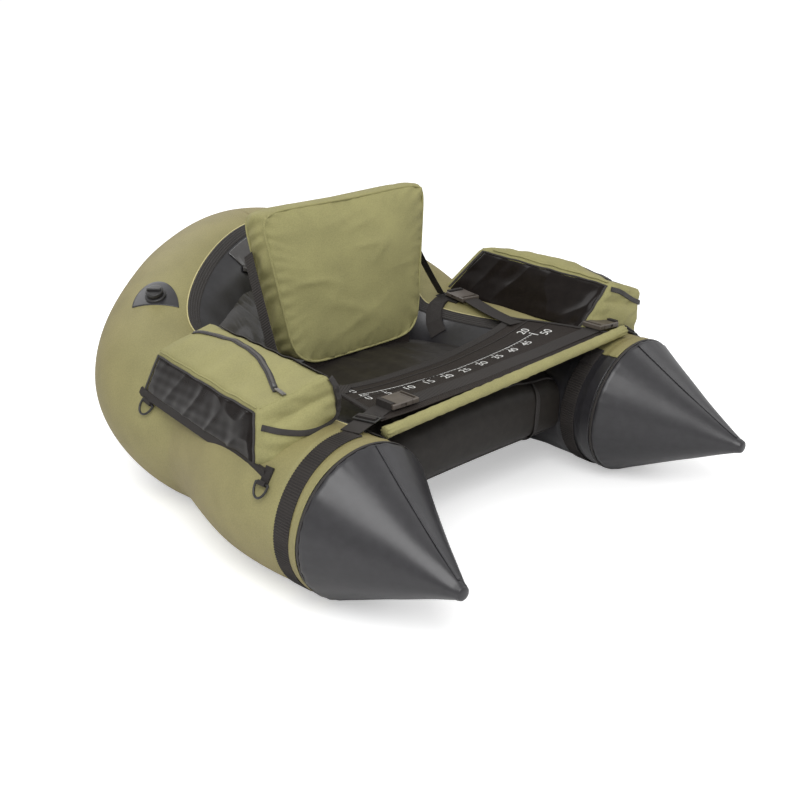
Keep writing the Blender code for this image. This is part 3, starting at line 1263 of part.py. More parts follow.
def add_bag(word, side):
    """A bag's body with its pocket, its two coated panels, its zip and the zip's pull."""
    body = add_object(f"{word}_bag", bag_mesh(side), OLIVE_CLOTH)
    bevel(body, BAG_EDGE, BAG_EDGE_SEGMENTS)
    clearance = add_cutter(f"{word}_bag_clearance", bag_mesh(side, 3 * FIT))
    bevel(clearance, BAG_EDGE, BAG_EDGE_SEGMENTS)
    low_a, high_a, low_c, high_c = POCKET_SHARES

    def build_pocket(shape):
        inner, outer = [], []
        for j in range(POCKET_STEPS + 1):
            v = j / POCKET_STEPS
            c = low_c + (high_c - low_c) * v
            row = [bag_point(side, low_a + (high_a - low_a) * i / POCKET_STEPS, -1, c)
                   for i in range(POCKET_STEPS + 1)]
            inner.append([p + Vector((0.0, POCKET_DEPTH, 0.0)) for p in row])
            swell = [math.sin(math.pi * i / POCKET_STEPS) * math.sin(math.pi * v)
                     for i in range(POCKET_STEPS + 1)]
            outer.append([p - Vector((0.0, POCKET_DEPTH * s, 0.0)) for p, s in zip(row, swell)])
        slab(shape, inner, outer)
    pocket = add_cutter(f"{word}_bag_pocket", mesh_from("pocket", build_pocket))
    boolean(body, pocket, "UNION")
    boolean(body, HULL[side])
    for face, where in ((1, "outer"), (-1, "inner")):
        panel = add_object(f"{word}_bag_{where}_panel",
                           panel_mesh(side, face, PANEL_SHARES, PANEL_THICK), BLACK_COATED)
        boolean(panel, clearance)
        boolean(panel, HULL[side])
    path = [bag_point(side, a, b, 1.0) for b, a in BAG_ZIP_SHARES]

    def build_zip(shape):
        lower, upper = [], []
        up = Vector((0.0, 0.0, 1.0))
        for i, point in enumerate(path):
            run = path[min(len(path) - 1, i + 1)] - path[max(0, i - 1)]
            wide = up.cross(run).normalized() * BAG_ZIP_WIDTH / 2
            lower.append([point + wide * e - up * OVERRUN for e in (-1, 1)])
            upper.append([point + wide * e + up * (FIT + BAG_ZIP_PROUD) for e in (-1, 1)])
        slab(shape, lower, upper)
    tape = add_object(f"{word}_bag_zip", mesh_from("zip", build_zip), BLACK_CLOTH)
    boolean(tape, clearance)

    share_b, share_a = PULL_SHARES
    hinge = bag_point(side, share_a, share_b, 1.0)
    run = bag_point(side, share_a, share_b - (1 + share_b) / 2, 1.0) - hinge
    hinge += Vector((0.0, 0.0, PULL_LIFT + PULL_THICK / 2))
    place = place_at(hinge, run)
    half_x, half_y, half_z = PULL_THICK / 2, PULL_WIDTH / 2, PULL_THICK / 2
    mesh = block_mesh("pull", (-half_x, -half_y, -half_z), (PULL_LENGTH, half_y, half_z), place)
    pull = add_object(f"{word}_bag_zip_pull", mesh, BLACK_PLASTIC)
    eye_x = PULL_LENGTH - half_y
    eye = block_mesh("eye", (eye_x - PULL_EYE / 2, -PULL_EYE / 2, -PULL_WIDTH),
                     (eye_x + PULL_EYE / 2, PULL_EYE / 2, PULL_WIDTH), place)
    boolean(pull, add_cutter(f"{word}_pull_eye", eye))
    set_origin(pull, place)


for side, word in ((-1, "left"), (1, "right")):
    add_bag(word, side)


# Webbing along each bag's foot, with a loop and a D-ring at both ends
def ring_place(side, y):
    """Frame of a D-ring: local X down the arm's side, local Y along the arm, Z away from it."""
    distance = distance_at(y)
    away = hull_normal(distance, RING_ANGLE, side)
    _, back, _, _ = axis_frame(distance)
    along = Vector((side * back.x, back.y, back.z))
    down = along.cross(away).normalized()
    if down.z > 0.0:
        down = -down
    turn = Matrix((down, away.cross(down), away)).transposed().to_4x4()
    return Matrix.Translation(hull_point(distance, RING_ANGLE, RING_LIFT, side)) @ turn


def ring_curve():
    """The outline of a D: a straight bar and a half oval."""
    half = RING_WIDTH / 2
    points = [(0.0, -half), (0.0, half)]
    for i in range(1, RING_POINTS):
        angle = math.pi / 2 - math.pi * i / RING_POINTS
        points.append((RING_DEPTH * math.cos(angle), half * math.sin(angle)))
    return points


def add_ring(name, place):
    """A D-ring of round wire, whose bar lies on its hinge."""
    curve = bpy.data.curves.new(name, "CURVE")
    curve.dimensions = "3D"
    curve.bevel_depth = RING_WIRE
    curve.bevel_resolution = 1
    spline = curve.splines.new("POLY")
    points = ring_curve()
    spline.points.add(len(points) - 1)
    for point, (x, y) in zip(spline.points, points):
        point.co = (x, y, 0.0, 1.0)
    spline.use_cyclic_u = True
    wire = bpy.data.objects.new(name, curve)
    CUTTERS.objects.link(wire)
    bpy.context.view_layer.update()
    seen = wire.evaluated_get(bpy.context.evaluated_depsgraph_get())
    mesh = bpy.data.meshes.new_from_object(seen)
    bpy.data.objects.remove(wire, do_unlink=True)
    mesh.materials.clear()
    ring = add_object(name, mesh, BLACK_PLASTIC)
    ring.matrix_world = place


def add_foot(word, side):
    """The foot strap of a bag with its two loops, and the D-rings in them."""
    mesh = panel_mesh(side, 1, FOOT_SHARES, FOOT_THICK)
    foot = add_object(f"{word}_bag_foot", mesh, BLACK_WEBBING)
    around = RING_WIRE + RING_GAP
    out, half = around + LOOP_WALL, LOOP_WIDTH / 2
    for y, where in ((RING_FRONT_Y, "front"), (RING_REAR_Y, "rear")):
        place = ring_place(side, y)
        tail = block_mesh("tail", (-out - LOOP_TAIL, FIT - half, -RING_LIFT - OVERRUN / 2),
                          (-out / 2, half - FIT, -RING_LIFT + FOOT_THICK), place)
        boolean(foot, add_cutter(f"{word}_{where}_loop_tail", tail), "UNION")
        loop = block_mesh("loop", (-out, -half, -RING_LIFT - OVERRUN), (out, half, out), place)
        boolean(foot, add_cutter(f"{word}_{where}_loop", loop), "UNION")
        eye = block_mesh("eye", (-around, -LOOP_WIDTH, -around), (around, LOOP_WIDTH, around),
                         place)
        boolean(foot, add_cutter(f"{word}_{where}_loop_eye", eye))
        add_ring(f"{word}_{where}_ring", place)
    boolean(foot, HULL[side])
    boolean(foot, bpy.data.objects[f"{word}_bag_clearance"])


for side, word in ((-1, "left"), (1, "right")):
    add_foot(word, side)


# Cargo deck: a front panel that hangs from the arms and a rear panel that hangs from the stern
def seam_distance(x):
    """Distance behind the ring at which the inner seam comes in to x."""
    step = HULL_LENGTH / PATH_STEPS / DECK_COLUMNS
    distance = distance_at(QUARTER_Y)
    while distance < HULL_LENGTH and hull_point(distance, DECK_ANGLE).x > x:
        distance += step
    return min(distance, HULL_LENGTH)


def zip_place(u):
    """Distance, angle, lift and side of the deck's zip line, which hangs lowest at the middle."""
    hang = 1 - u * u
    angle = DECK_ANGLE + (DECK_ZIP_ANGLE - DECK_ANGLE) * hang
    lift = DECK_ZIP_STANDOFF * hang - DECK_ZIP_BITE * (1 - hang)
    return seam_distance(abs(u) * DECK_MEET_X), angle, lift, -1 if u < 0 else 1


def deck_row(v):
    """A row of the front panel, from the seat's side (v 0) to the zip (v 1)."""
    first, last = distance_at(DECK_FRONT_Y), seam_distance(DECK_MEET_X)
    edge = hull_point(first + (last - first) * v, DECK_ANGLE, -DECK_BITE)
    drop = DECK_FRONT_DROP + (DECK_MIDDLE_DROP - DECK_FRONT_DROP) * min(1.0, 2 * v)
    row = []
    for i in range(DECK_COLUMNS + 1):
        u = 2 * i / DECK_COLUMNS - 1
        meet = flat_point(*zip_place(u))
        hang = 1 - u * u
        fold = DECK_FOLD * math.sin(math.pi * v) * math.cos(3 * math.pi * u) * hang
        point = Vector((edge.x * u, edge.y, edge.z - drop * hang + fold))
        row.append(point.lerp(meet, v**3))
    return row


def skirt_row(v, depth=0.0):
    """A row of the rear panel, from the zip (v 0) up the stern to its seam (v 1)."""
    row = []
    for i in range(DECK_COLUMNS + 1):
        distance, angle, lift, side = zip_place(SKIRT_SHARE * (2 * i / DECK_COLUMNS - 1))
        angle += (SKIRT_TOP - angle) * v
        lift = max(DECK_THICK, (lift - DECK_GAP) * (1 - v) + DECK_THICK * v)
        row.append(flat_point(distance, angle, -depth if depth else lift, side))
    return row


def add_deck():
    """Both panels, cut where they meet the hull."""
    thick = Vector((0.0, -DECK_THICK / 2, DECK_THICK))

    def build_front(shape):
        rows = [deck_row(j / DECK_ROWS) for j in range(DECK_ROWS + 1)]
        slab(shape, rows, [[p + thick for p in row] for row in rows])

    def build_rear(shape):
        steps = [j / SKIRT_ROWS for j in range(SKIRT_ROWS + 1)]
        slab(shape, [skirt_row(v, DECK_BITE) for v in steps], [skirt_row(v) for v in steps])
    for name, build in (("cargo_deck_front", build_front), ("cargo_deck_rear", build_rear)):
        panel = add_object(name, mesh_from(name, build), BLACK_COATED)
        for side in (-1, 1):
            boolean(panel, HULL[side])
            boolean(panel, ZIP_CLEARANCE[side])


add_deck()
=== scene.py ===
"""Float tube: an inflatable horseshoe with a slung seat, a folding backrest, a lap apron and bags.

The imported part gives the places, the moving bodies and the hidden pieces. Smooth shells, padded
cushions and cloth sheets stand for its faceted solids, in the same places.
"""
import math

import bmesh
import bpy
import numpy as np
from mathutils import Matrix, Vector


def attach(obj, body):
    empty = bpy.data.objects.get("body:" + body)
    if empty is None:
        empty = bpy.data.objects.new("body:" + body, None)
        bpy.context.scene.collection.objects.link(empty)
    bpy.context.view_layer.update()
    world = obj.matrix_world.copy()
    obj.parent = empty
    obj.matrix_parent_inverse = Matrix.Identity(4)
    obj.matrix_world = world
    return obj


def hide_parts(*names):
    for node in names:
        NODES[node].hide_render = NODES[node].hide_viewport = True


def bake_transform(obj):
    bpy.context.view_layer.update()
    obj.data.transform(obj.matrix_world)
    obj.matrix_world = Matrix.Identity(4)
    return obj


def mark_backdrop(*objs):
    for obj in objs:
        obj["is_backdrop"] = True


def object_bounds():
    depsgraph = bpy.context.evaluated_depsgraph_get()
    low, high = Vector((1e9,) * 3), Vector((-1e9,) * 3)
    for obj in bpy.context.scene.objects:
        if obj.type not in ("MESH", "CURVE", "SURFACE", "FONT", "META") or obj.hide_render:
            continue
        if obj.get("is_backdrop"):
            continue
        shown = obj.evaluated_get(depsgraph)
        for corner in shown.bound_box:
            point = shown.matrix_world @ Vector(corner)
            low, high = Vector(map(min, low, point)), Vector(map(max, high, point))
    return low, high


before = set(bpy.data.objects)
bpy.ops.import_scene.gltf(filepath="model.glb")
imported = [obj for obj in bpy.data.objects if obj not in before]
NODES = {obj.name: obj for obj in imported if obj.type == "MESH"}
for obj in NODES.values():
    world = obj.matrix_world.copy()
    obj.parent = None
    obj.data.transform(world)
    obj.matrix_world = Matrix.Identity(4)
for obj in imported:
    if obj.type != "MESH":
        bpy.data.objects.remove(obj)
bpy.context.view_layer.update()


# Hull covers: olive coated cloth outside and black coated cloth inside, sewn along two seams
# round the bladders. Each is a patch of one surface: a round section on a horseshoe plan,
# flattened at the keel, which rises towards the stern.
SIDES = ((-1, "left"), (1, "right"))
RADIUS = 0.147
KEEL_COS = math.cos(math.radians(7.5))
TOP_SEAM, LOWER_SEAM = math.radians(120.0), math.radians(-66.0)
RISE, RISE_START, STERN_Y = 0.194, 0.1418, 0.4788
LEAN, LEAN_REACH = math.tan(math.radians(3.2)), 0.25
STRAP_SETBACK, STRAP_HALF, STRAP_DEPTH = 0.048, 0.0193, 0.0022
PLAN_KNOTS = np.array([(0.4136, -0.6256), (0.392, -0.3632), (0.3985, -0.1652), (0.341, 0.0618),
                       (0.335, 0.3138), (0.0, STERN_Y), (-0.335, 0.3138)])
SHELL = 0.0012
PUCKER_PITCH, PUCKER_REACH, PUCKER_HEIGHT = 0.019, 0.010, 0.0006
DENT_HEIGHT, INSET = 0.0009, 0.0004


def run_length(points):
    """Length along a path of points; for a grid, the mean length down its columns."""
    steps = np.linalg.norm(np.diff(points, axis=0), axis=-1)
    return np.concatenate([[0.0], np.cumsum(steps if steps.ndim == 1 else steps.mean(1))])


def plan_curve():
    """The hull axis in plan: a cubic through the knots, with tangents after centripetal chords."""
    spans = np.sqrt(np.linalg.norm(np.diff(PLAN_KNOTS, axis=0), axis=1))
    t = np.linspace(0, 1, 48, endpoint=False)[:, None]
    rows = []
    for k in range(1, len(PLAN_KNOTS) - 2):
        before, span, after = spans[k - 1:k + 2]
        a, b, c, d = PLAN_KNOTS[k - 1:k + 3]
        leave = (b - a) / before - (c - a) / (before + span) + (c - b) / span
        arrive = (c - b) / span - (d - b) / (span + after) + (d - c) / after
        rows.append((2 * t**3 - 3 * t**2 + 1) * b + (t**3 - 2 * t**2 + t) * span * leave
                    + (3 * t**2 - 2 * t**3) * c + (t**3 - t**2) * span * arrive)
    rows.append(PLAN_KNOTS[-2:-1])
    return np.vstack(rows)


PLAN = plan_curve()
PLAN_AT = run_length(PLAN)
LENGTH = PLAN_AT[-1]


def distance_at(y):
    """Distance behind the ring at which the arm's axis reaches y."""
    return np.interp(y, PLAN[:, 1], PLAN_AT)


def axis_at(distance):
    """The hull's axis at distances behind the ring."""
    x, y = np.interp(distance, PLAN_AT, PLAN[:, 0]), np.interp(distance, PLAN_AT, PLAN[:, 1])
    share = np.clip((y - RISE_START) / (STERN_Y - RISE_START), 0, None)
    return np.stack([x, y, RADIUS * KEEL_COS + RISE * share**1.6], -1)


def unit(v):
    """Vectors made one long."""
    return v / np.maximum(np.linalg.norm(v, axis=-1, keepdims=True), 1e-12)


def together(*values):
    """Numbers and arrays brought to one shape."""
    return np.broadcast_arrays(*[np.asarray(v, float) for v in values])


def axis_frame(distance):
    """Axis point and the directions to the stern, outwards and upwards."""
    distance = np.asarray(distance, float)
    back = unit(axis_at(np.minimum(distance + 0.008, LENGTH)) - axis_at(np.maximum(distance - 0.008, 0)))
    end = np.clip((distance - LENGTH + 0.03) / 0.03, 0, 1)[..., None]
    back = unit(back * (1 - end) + np.array([-1.0, 0.0, 0.0]) * end)
    out = unit(np.stack([back[..., 1], -back[..., 0], 0 * back[..., 0]], -1))
    return axis_at(distance), back, out, np.cross(out, back)


def hull(distance, angle, lift=0.0, side=1):
    """A point over the cover: distance behind the ring, angle up and over from the outer side.
    A circle round the axis that leans near the ring, drawn in under the strap, cut off at the keel."""
    distance, angle, lift = together(distance, angle, lift)
    centre, back, out, up = axis_frame(distance)
    bite = STRAP_DEPTH * np.clip(1 - (np.abs(distance - STRAP_SETBACK) - STRAP_HALF) / 0.010, 0, 1)
    radius = (RADIUS - bite + lift)[..., None]
    lean = LEAN * np.clip(1 - distance / LEAN_REACH, 0, None)[..., None]
    up_share = np.sin(angle)[..., None]
    point = centre + out * radius * np.cos(angle)[..., None] + up * radius * up_share
    point = point - back * radius * up_share * lean
    floor = centre[..., 2] - RADIUS * KEEL_COS
    point[..., 2] = np.maximum(point[..., 2], floor - np.minimum(lift, 0))
    point[..., 0] *= side
    return point


def hull_away(distance, angle, side=1):
    """The direction away from the cover."""
    distance, angle = together(distance, angle)
    _, _, out, up = axis_frame(distance)
    away = out * np.cos(angle)[..., None] + up * np.sin(angle)[..., None]
    away[..., 0] *= side
    return away


def folds(u, v, seed, waves=7, low=1.0, high=4.0):
    """Soft irregular folds between -1 and 1: a few sine waves with seeded directions and phases."""
    rng = np.random.default_rng(seed)
    turn, size = rng.uniform(0, math.tau, waves), rng.uniform(low, high, waves)
    phase, share = rng.uniform(0, math.tau, waves), rng.uniform(0.4, 1.0, waves)
    u, v = u[..., None], v[..., None]
    waves_sum = share * np.sin(math.tau * size * (u * np.cos(turn) + v * np.sin(turn)) + phase)
    return waves_sum.sum(-1) / share.sum() * 1.6


def add_mesh(name, points, faces, uvs, material, body):
    """Link a smooth mesh with UVs in metres, and let it ride on a body. It stands for the CAD node
    of the same name, where there is one."""
    mesh = bpy.data.meshes.new(name)
    mesh.from_pydata(points.tolist(), [], faces)
    mesh.shade_smooth()
    layer = mesh.uv_layers.new(name="along")
    layer.data.foreach_set("uv", np.ascontiguousarray(uvs, np.float32).ravel())
    mesh.materials.append(material)
    piece = bpy.data.objects.new("look_" + name, mesh)
    bpy.context.scene.collection.objects.link(piece)
    if body:
        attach(piece, body)
    if name in NODES:
        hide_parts(name)
    return piece


def add_grid(name, grid, material, body="tube", around=False, cap=False, thick=0.0, flip=False):
    """A surface from a grid of points; around joins its sides, cap closes its ends with poles.
    thick makes it a closed sheet by adding a back."""
    rows, cols = grid.shape[:2]
    points = grid.reshape(-1, 3)
    wide = cols if around else cols - 1
    i, j = np.meshgrid(np.arange(rows - 1), np.arange(wide), indexing="ij")
    k = (j + 1) % cols
    quads = np.stack([i * cols + j, i * cols + k, (i + 1) * cols + k, (i + 1) * cols + j], -1).reshape(-1, 4)
    across = np.vstack([grid.transpose(1, 0, 2), grid[:, :1].transpose(1, 0, 2)])[:wide + 1]
    u, v = run_length(across), run_length(grid)
    corners = ((j, i), (j + 1, i), (j + 1, i + 1), (j, i + 1))
    uvs = np.stack([np.stack([u[a], v[b]], -1) for a, b in corners], 2).reshape(-1, 4, 2)
    if flip:
        quads, uvs = quads[:, ::-1], uvs[:, ::-1]
    faces, uvs = quads.tolist(), uvs.reshape(-1, 2)
    if cap:
        here = np.arange(wide)
        for row in (0, rows - 1):
            ends = [row * cols + here, row * cols + (here + 1) % cols]
            if (row == 0) != flip:
                ends.reverse()
            faces += np.stack([*ends, 0 * here + len(points)], -1).tolist()
            points = np.vstack([points, grid[row].mean(0)])
            uvs = np.vstack([uvs, np.zeros((3 * wide, 2))])
    piece = add_mesh(name, points, faces, uvs, material, body)
    if thick:
        step = piece.modifiers.new("Thickness", "SOLIDIFY")
        step.thickness, step.offset = thick, -1.0
    return piece


def boxed(turn, power):
    """Cosine and sine of a turn with their sizes raised to a power: a circle that squares up as the
    power falls."""
    return [np.sign(way) * np.abs(way)**power for way in (np.cos(turn), np.sin(turn))]


def add_strip(name, path, away, width, thick, material, body="tube", corner=0.5, loop=False, rib=None):
    """A closed band swept along a path: the section is a rounded box, and corner 1 makes it an oval.
    away is the way its face looks, and rib (pitch, depth) raises cross ribs along it."""
    path = np.asarray(path, float)
    away = unit(np.broadcast_to(np.asarray(away, float), path.shape))
    if rib:
        pitch, depth = rib
        length = run_length(path)
        at = np.linspace(0, length[-1], max(3, int(length[-1] / pitch * 5)))
        path = np.stack([np.interp(at, length, path[:, c]) for c in range(3)], -1)
        away = unit(np.stack([np.interp(at, length, away[:, c]) for c in range(3)], -1))
    run = unit(np.roll(path, -1, 0) - np.roll(path, 1, 0)) if loop else unit(np.gradient(path, axis=0))
    across = unit(np.cross(away, run))
    away = unit(np.cross(run, across))
    x, z = boxed(np.linspace(0, math.tau, 16, endpoint=False), 0.25 + 0.75 * corner)
    heights = np.tile(z * thick / 2, (len(path), 1))
    if rib:
        bump = np.maximum(0, np.cos(math.tau * at / pitch))[:, None] * depth
        heights = np.where(heights > 0, heights + bump, heights)
    sideways = (x * width / 2)[:, None]
    grid = path[:, None] + across[:, None] * sideways + away[:, None] * heights[..., None]
    if loop:
        grid = np.concatenate([grid, grid[:1]])
    return add_grid(name, grid, material, body, around=True, cap=not loop)


def lay_on_cover(name, distance, angle, lift, side, width, thick, material, **more):
    """A strip carried along the cover at lift above it, and never below the ground."""
    path = hull(distance, angle, lift, side)
    path[:, 2] = np.maximum(path[:, 2], 0.0014)
    return add_strip(name, path, hull_away(distance, angle, side), width, thick, material, **more)


def node(tree, kind, inputs=None, **attributes):
    """Add a node; an input given a socket is linked and any other is set."""
    made = tree.nodes.new("ShaderNode" + kind)
    for key, value in attributes.items():
        setattr(made, key, value)
    for key, value in (inputs or {}).items():
        if isinstance(value, bpy.types.NodeSocket):
            tree.links.new(value, made.inputs[key])
        else:
            made.inputs[key].default_value = value
    return made


def reckon(tree, operation, *values):
    """The output of a Math node."""
    return node(tree, "Math", dict(enumerate(values)), operation=operation).outputs[0]


def noise(tree, given, scale, detail, distortion=0.0):
    """The output of a noise at a scale per metre."""
    return node(tree, "TexNoise", {"Vector": given["Vector"], "Scale": scale, "Detail": detail,
                                   "Distortion": distortion}).outputs["Fac"]


def remap(tree, value, low, high, to_low, to_high):
    """A value carried from one range to another."""
    return node(tree, "MapRange", {"Value": value, "From Min": low, "From Max": high, "To Min": to_low,
                                   "To Max": to_high}).outputs[0]


def effect(name, build):
    """A node group with Vector and Count inputs, and Tone and Height outputs."""
    group = bpy.data.node_groups.new(name, "ShaderNodeTree")
    for key, way, kind in (("Vector", "INPUT", "Vector"), ("Count", "INPUT", "Float"),
                           ("Tone", "OUTPUT", "Float"), ("Height", "OUTPUT", "Float")):
        group.interface.new_socket(key, in_out=way, socket_type="NodeSocket" + kind)
    start, end = group.nodes.new("NodeGroupInput"), group.nodes.new("NodeGroupOutput")
    tone, height = build(group, start.outputs)
    group.links.new(tone, end.inputs["Tone"])
    group.links.new(height, end.inputs["Height"])
    return group


def woven(tree, given):
    """Plain weave: waves along X, Y and Z added up for the height; two noises make uneven dye."""
    wave = {"Vector": given["Vector"], "Scale": given["Count"], "Distortion": 0.6}
    one, two, three = (node(tree, "TexWave", wave, bands_direction=along).outputs["Fac"] for along in "XYZ")
    height = reckon(tree, "ADD", reckon(tree, "ADD", one, two), three)
    tone = reckon(tree, "ADD", noise(tree, given, 14.0, 5.0), noise(tree, given, 420.0, 2.0))
    return remap(tree, tone, 0.7, 1.3, 0.86, 1.12), height


def crumpled(tree, given):
    """Creases of a coated film: the ridge where a large noise crosses its middle, plus a small noise."""
    large = noise(tree, given, given["Count"], 3.0, 1.4)
    small = noise(tree, given, 60.0, 3.0)
    ridge = reckon(tree, "ABSOLUTE", reckon(tree, "SUBTRACT", large, 0.5))
    height = reckon(tree, "ADD", ridge, reckon(tree, "MULTIPLY", small, 0.12))
    return remap(tree, small, 0.3, 0.7, 0.85, 1.15), height


def ribbed(tree, given):
    """Webbing: a sine of the UV's length makes cross ribs, and a finer sine of its width the cords. Their
    height also sets the tone, darker in the grooves and lighter on the crests: painted shade and highlight.
    """
    parts = node(tree, "SeparateXYZ", {"Vector": given["Vector"]}).outputs
    ribs = reckon(tree, "SINE", reckon(tree, "MULTIPLY", parts["Y"], given["Count"]))
    cords = reckon(tree, "SINE", reckon(tree, "MULTIPLY", parts["X"], 2400.0))
    height = reckon(tree, "ADD", ribs, reckon(tree, "MULTIPLY", cords, 0.5))
    # The tone follows the ribs' height: painted shade in the grooves and painted highlight on the crests.
    return remap(tree, height, -1.5, 1.5, 0.50, 1.55), height


WOVEN, CRUMPLED, RIBBED = effect("woven", woven), effect("crumpled", crumpled), effect("ribbed", ribbed)


def paint(name, colour, roughness, group=None, count=1.0, depth=0.0, edge=None, metal=0.0,
          own_uv=False, shine=0.5):
    """A material: one colour, varied by an effect's tone and bumped by its height.
    edge is a second, darker colour laid where the surface turns away from the view: painted shade on the
    rims."""
    material = bpy.data.materials.new(name)
    material.use_nodes = True
    tree = material.node_tree
    shader = tree.nodes["Principled BSDF"]
    shader.inputs["Roughness"].default_value = roughness
    shader.inputs["Metallic"].default_value = metal
    shader.inputs["Specular IOR Level"].default_value = shine
    shader.inputs["Base Color"].default_value = (*colour, 1.0)
    if group is None:
        return material
    place = node(tree, "TexCoord").outputs["UV" if own_uv else "Object"]
    made = node(tree, "Group", {"Vector": place, "Count": count}, node_tree=group)
    base = node(tree, "Mix", {6: (*colour, 1.0), 7: (*(edge or colour), 1.0), 0: 0.0}, data_type="RGBA")
    # The Layer Weight mix lays the darker edge colour where the surface turns from the view: painted shade on
    # the rims.
    if edge:
        tree.links.new(node(tree, "LayerWeight", {"Blend": 0.35}).outputs["Facing"], base.inputs[0])
    tinted = node(tree, "VectorMath", {0: base.outputs[2]}, operation="SCALE")
    tree.links.new(made.outputs["Tone"], tinted.inputs["Scale"])
    tree.links.new(tinted.outputs[0], shader.inputs["Base Color"])
    bump = node(tree, "Bump", {"Height": made.outputs["Height"], "Strength": 1.0, "Distance": depth})
    tree.links.new(bump.outputs[0], shader.inputs["Normal"])
    return material


# The edge colours of both olives are darker and browner than their base: painted shade where the cloth turns
# away.
HULL_OLIVE = paint("hull_olive", (0.268, 0.248, 0.104), 0.62, WOVEN, 520.0, 0.00005,
                   edge=(0.225, 0.178, 0.070))
OLIVE = paint("olive", (0.298, 0.280, 0.117), 0.80, WOVEN, 420.0, 0.00008,
              edge=(0.275, 0.250, 0.103))
SATIN = paint("satin_black", (0.021, 0.020, 0.0225), 0.36, CRUMPLED, 5.0, 0.0005,
              shine=0.6)
SEAT_CLOTH = paint("seat_cloth", (0.021, 0.018, 0.0155), 0.50, CRUMPLED, 6.0, 0.0006,
                   shine=0.25)
GLOSS = paint("gloss_black", (0.011, 0.0085, 0.0075), 0.20, CRUMPLED, 4.0, 0.0006,
              shine=0.11)
# The deck cloth's black is raised well above the other blacks to stand in for its gloss: painted highlight.
DECK_WITH_PAINTED_SHEEN = paint("deck_cloth_painted_sheen", (0.044, 0.041, 0.040), 0.27, CRUMPLED, 6.0, 0.0030,
             shine=0.9)
WEBBING = paint("webbing", (0.022, 0.018, 0.016), 0.80, RIBBED, 1142.0, 0.00025, own_uv=True)
FLAT_WEB = paint("flat_webbing", (0.024, 0.020, 0.018), 0.85, WOVEN, 900.0, 0.00010)
TAPE = paint("tape", (0.030, 0.026, 0.024), 0.62, WOVEN, 700.0, 0.00008)
PIPING = paint("pale_piping", (0.58, 0.52, 0.26), 0.7, WOVEN, 600.0, 0.00005)

for side, word in SIDES:
    near_ring = np.linspace(0.0004, 0.09, 60, endpoint=False)
    d = np.concatenate([near_ring, np.linspace(0.09, LENGTH, 200)])[:, None]
    for name, low, high, look, seed in (("outer_cover", LOWER_SEAM, TOP_SEAM, HULL_OLIVE, 3),
                                        ("inner_cover", TOP_SEAM, LOWER_SEAM + math.tau, SATIN, 5)):
        angle = np.linspace(low + 0.003, high - 0.003, 72)[None, :]
        near = np.minimum(angle - low, high - angle) * RADIUS
        wave = np.sin(math.tau * d / PUCKER_PITCH + 3 * np.sin(31 * d))
        pucker = np.exp(-near / PUCKER_REACH) * wave * PUCKER_HEIGHT
        dents = folds(d * 5, angle * 0.5, seed + side, high=3.0) * DENT_HEIGHT
        lift = np.where(np.sin(angle) > -0.9, pucker + dents - INSET, 0.0)
        add_grid(f"{word}_{name}", hull(d, angle, lift, side), look, flip=side > 0, thick=SHELL)


# Front cones: black coated cloth, sewn to the covers at the ring and along the top. The section
# shrinks almost evenly from the ring to a small round tip.
CONE_TIP, TIP_RADIUS, TIP_DOME = np.array([0.4136, -0.6256, 0.1247]), 0.013, np.array([0.0, -0.005, 0.0])
COLLAR, CONE_SEAM = 0.0124, math.radians(97.0)


def cone(share, angle, lift=0.0, side=1):
    """A point on a cone: share 0 at the ring's collar, 1 at the tip, and a dome beyond 1. The centre
    runs straight to the tip while the radius shrinks with the share left, to the power of 1.06."""
    share, angle, lift = together(share, angle, lift)
    ring, back, out, up = axis_frame(np.zeros_like(share))
    ring = ring - back * COLLAR
    inside, beyond = np.minimum(share, 1.0), np.clip(share - 1.0, 0, 1) * math.pi / 2
    centre = ring + (CONE_TIP - ring) * inside[..., None] + TIP_DOME * np.sin(beyond)[..., None]
    radius = (RADIUS - TIP_RADIUS) * np.clip(1 - inside, 0, 1)**1.06 + TIP_RADIUS
    radius = radius * np.cos(beyond * 0.98) + lift
    point = centre + out * (radius * np.cos(angle))[..., None] + up * (radius * np.sin(angle))[..., None]
    point = point - back * (radius * np.sin(angle) * LEAN * (1 - inside))[..., None]
    point[..., 2] = np.maximum(point[..., 2], 0)
    point[..., 0] *= side
    return point


for side, word in SIDES:
    share = np.concatenate([[-0.045], np.linspace(0, 1, 60), np.linspace(1.05, 2, 9)])[:, None]
    angle = np.linspace(0, math.tau, 120, endpoint=False)[None, :]
    near = np.exp(-np.abs(share) / 0.06)
    dents = folds(share * 1.2, np.cos(angle) * 0.5, 11 + side, high=2.5)
    gathers = near * np.sin(angle * 31 + 2 * np.sin(5 * angle))
    lift = (dents * 0.0007 + gathers * 0.0007 - 0.001) * (share < 0.97)
    add_grid(f"{word}_cone", cone(share, angle, lift, side), SATIN, around=True, cap=True, flip=side < 0)
    seam = cone(np.linspace(0.0, 0.96, 50), CONE_SEAM, 0.0006, side)
    add_strip(f"{word}_cone_seam", seam, hull_away(0.0, CONE_SEAM, side), 0.007, 0.0014, SATIN)
    turn = np.linspace(0, math.tau, 160, endpoint=False)
    rim = cone(-0.03, turn, -0.0004, side)
    rim[:, 2] = np.maximum(rim[:, 2], 0.0012)
    add_strip(f"{word}_ring_seam", rim, hull_away(0.0, turn, side), 0.006, 0.0018, TAPE, loop=True)


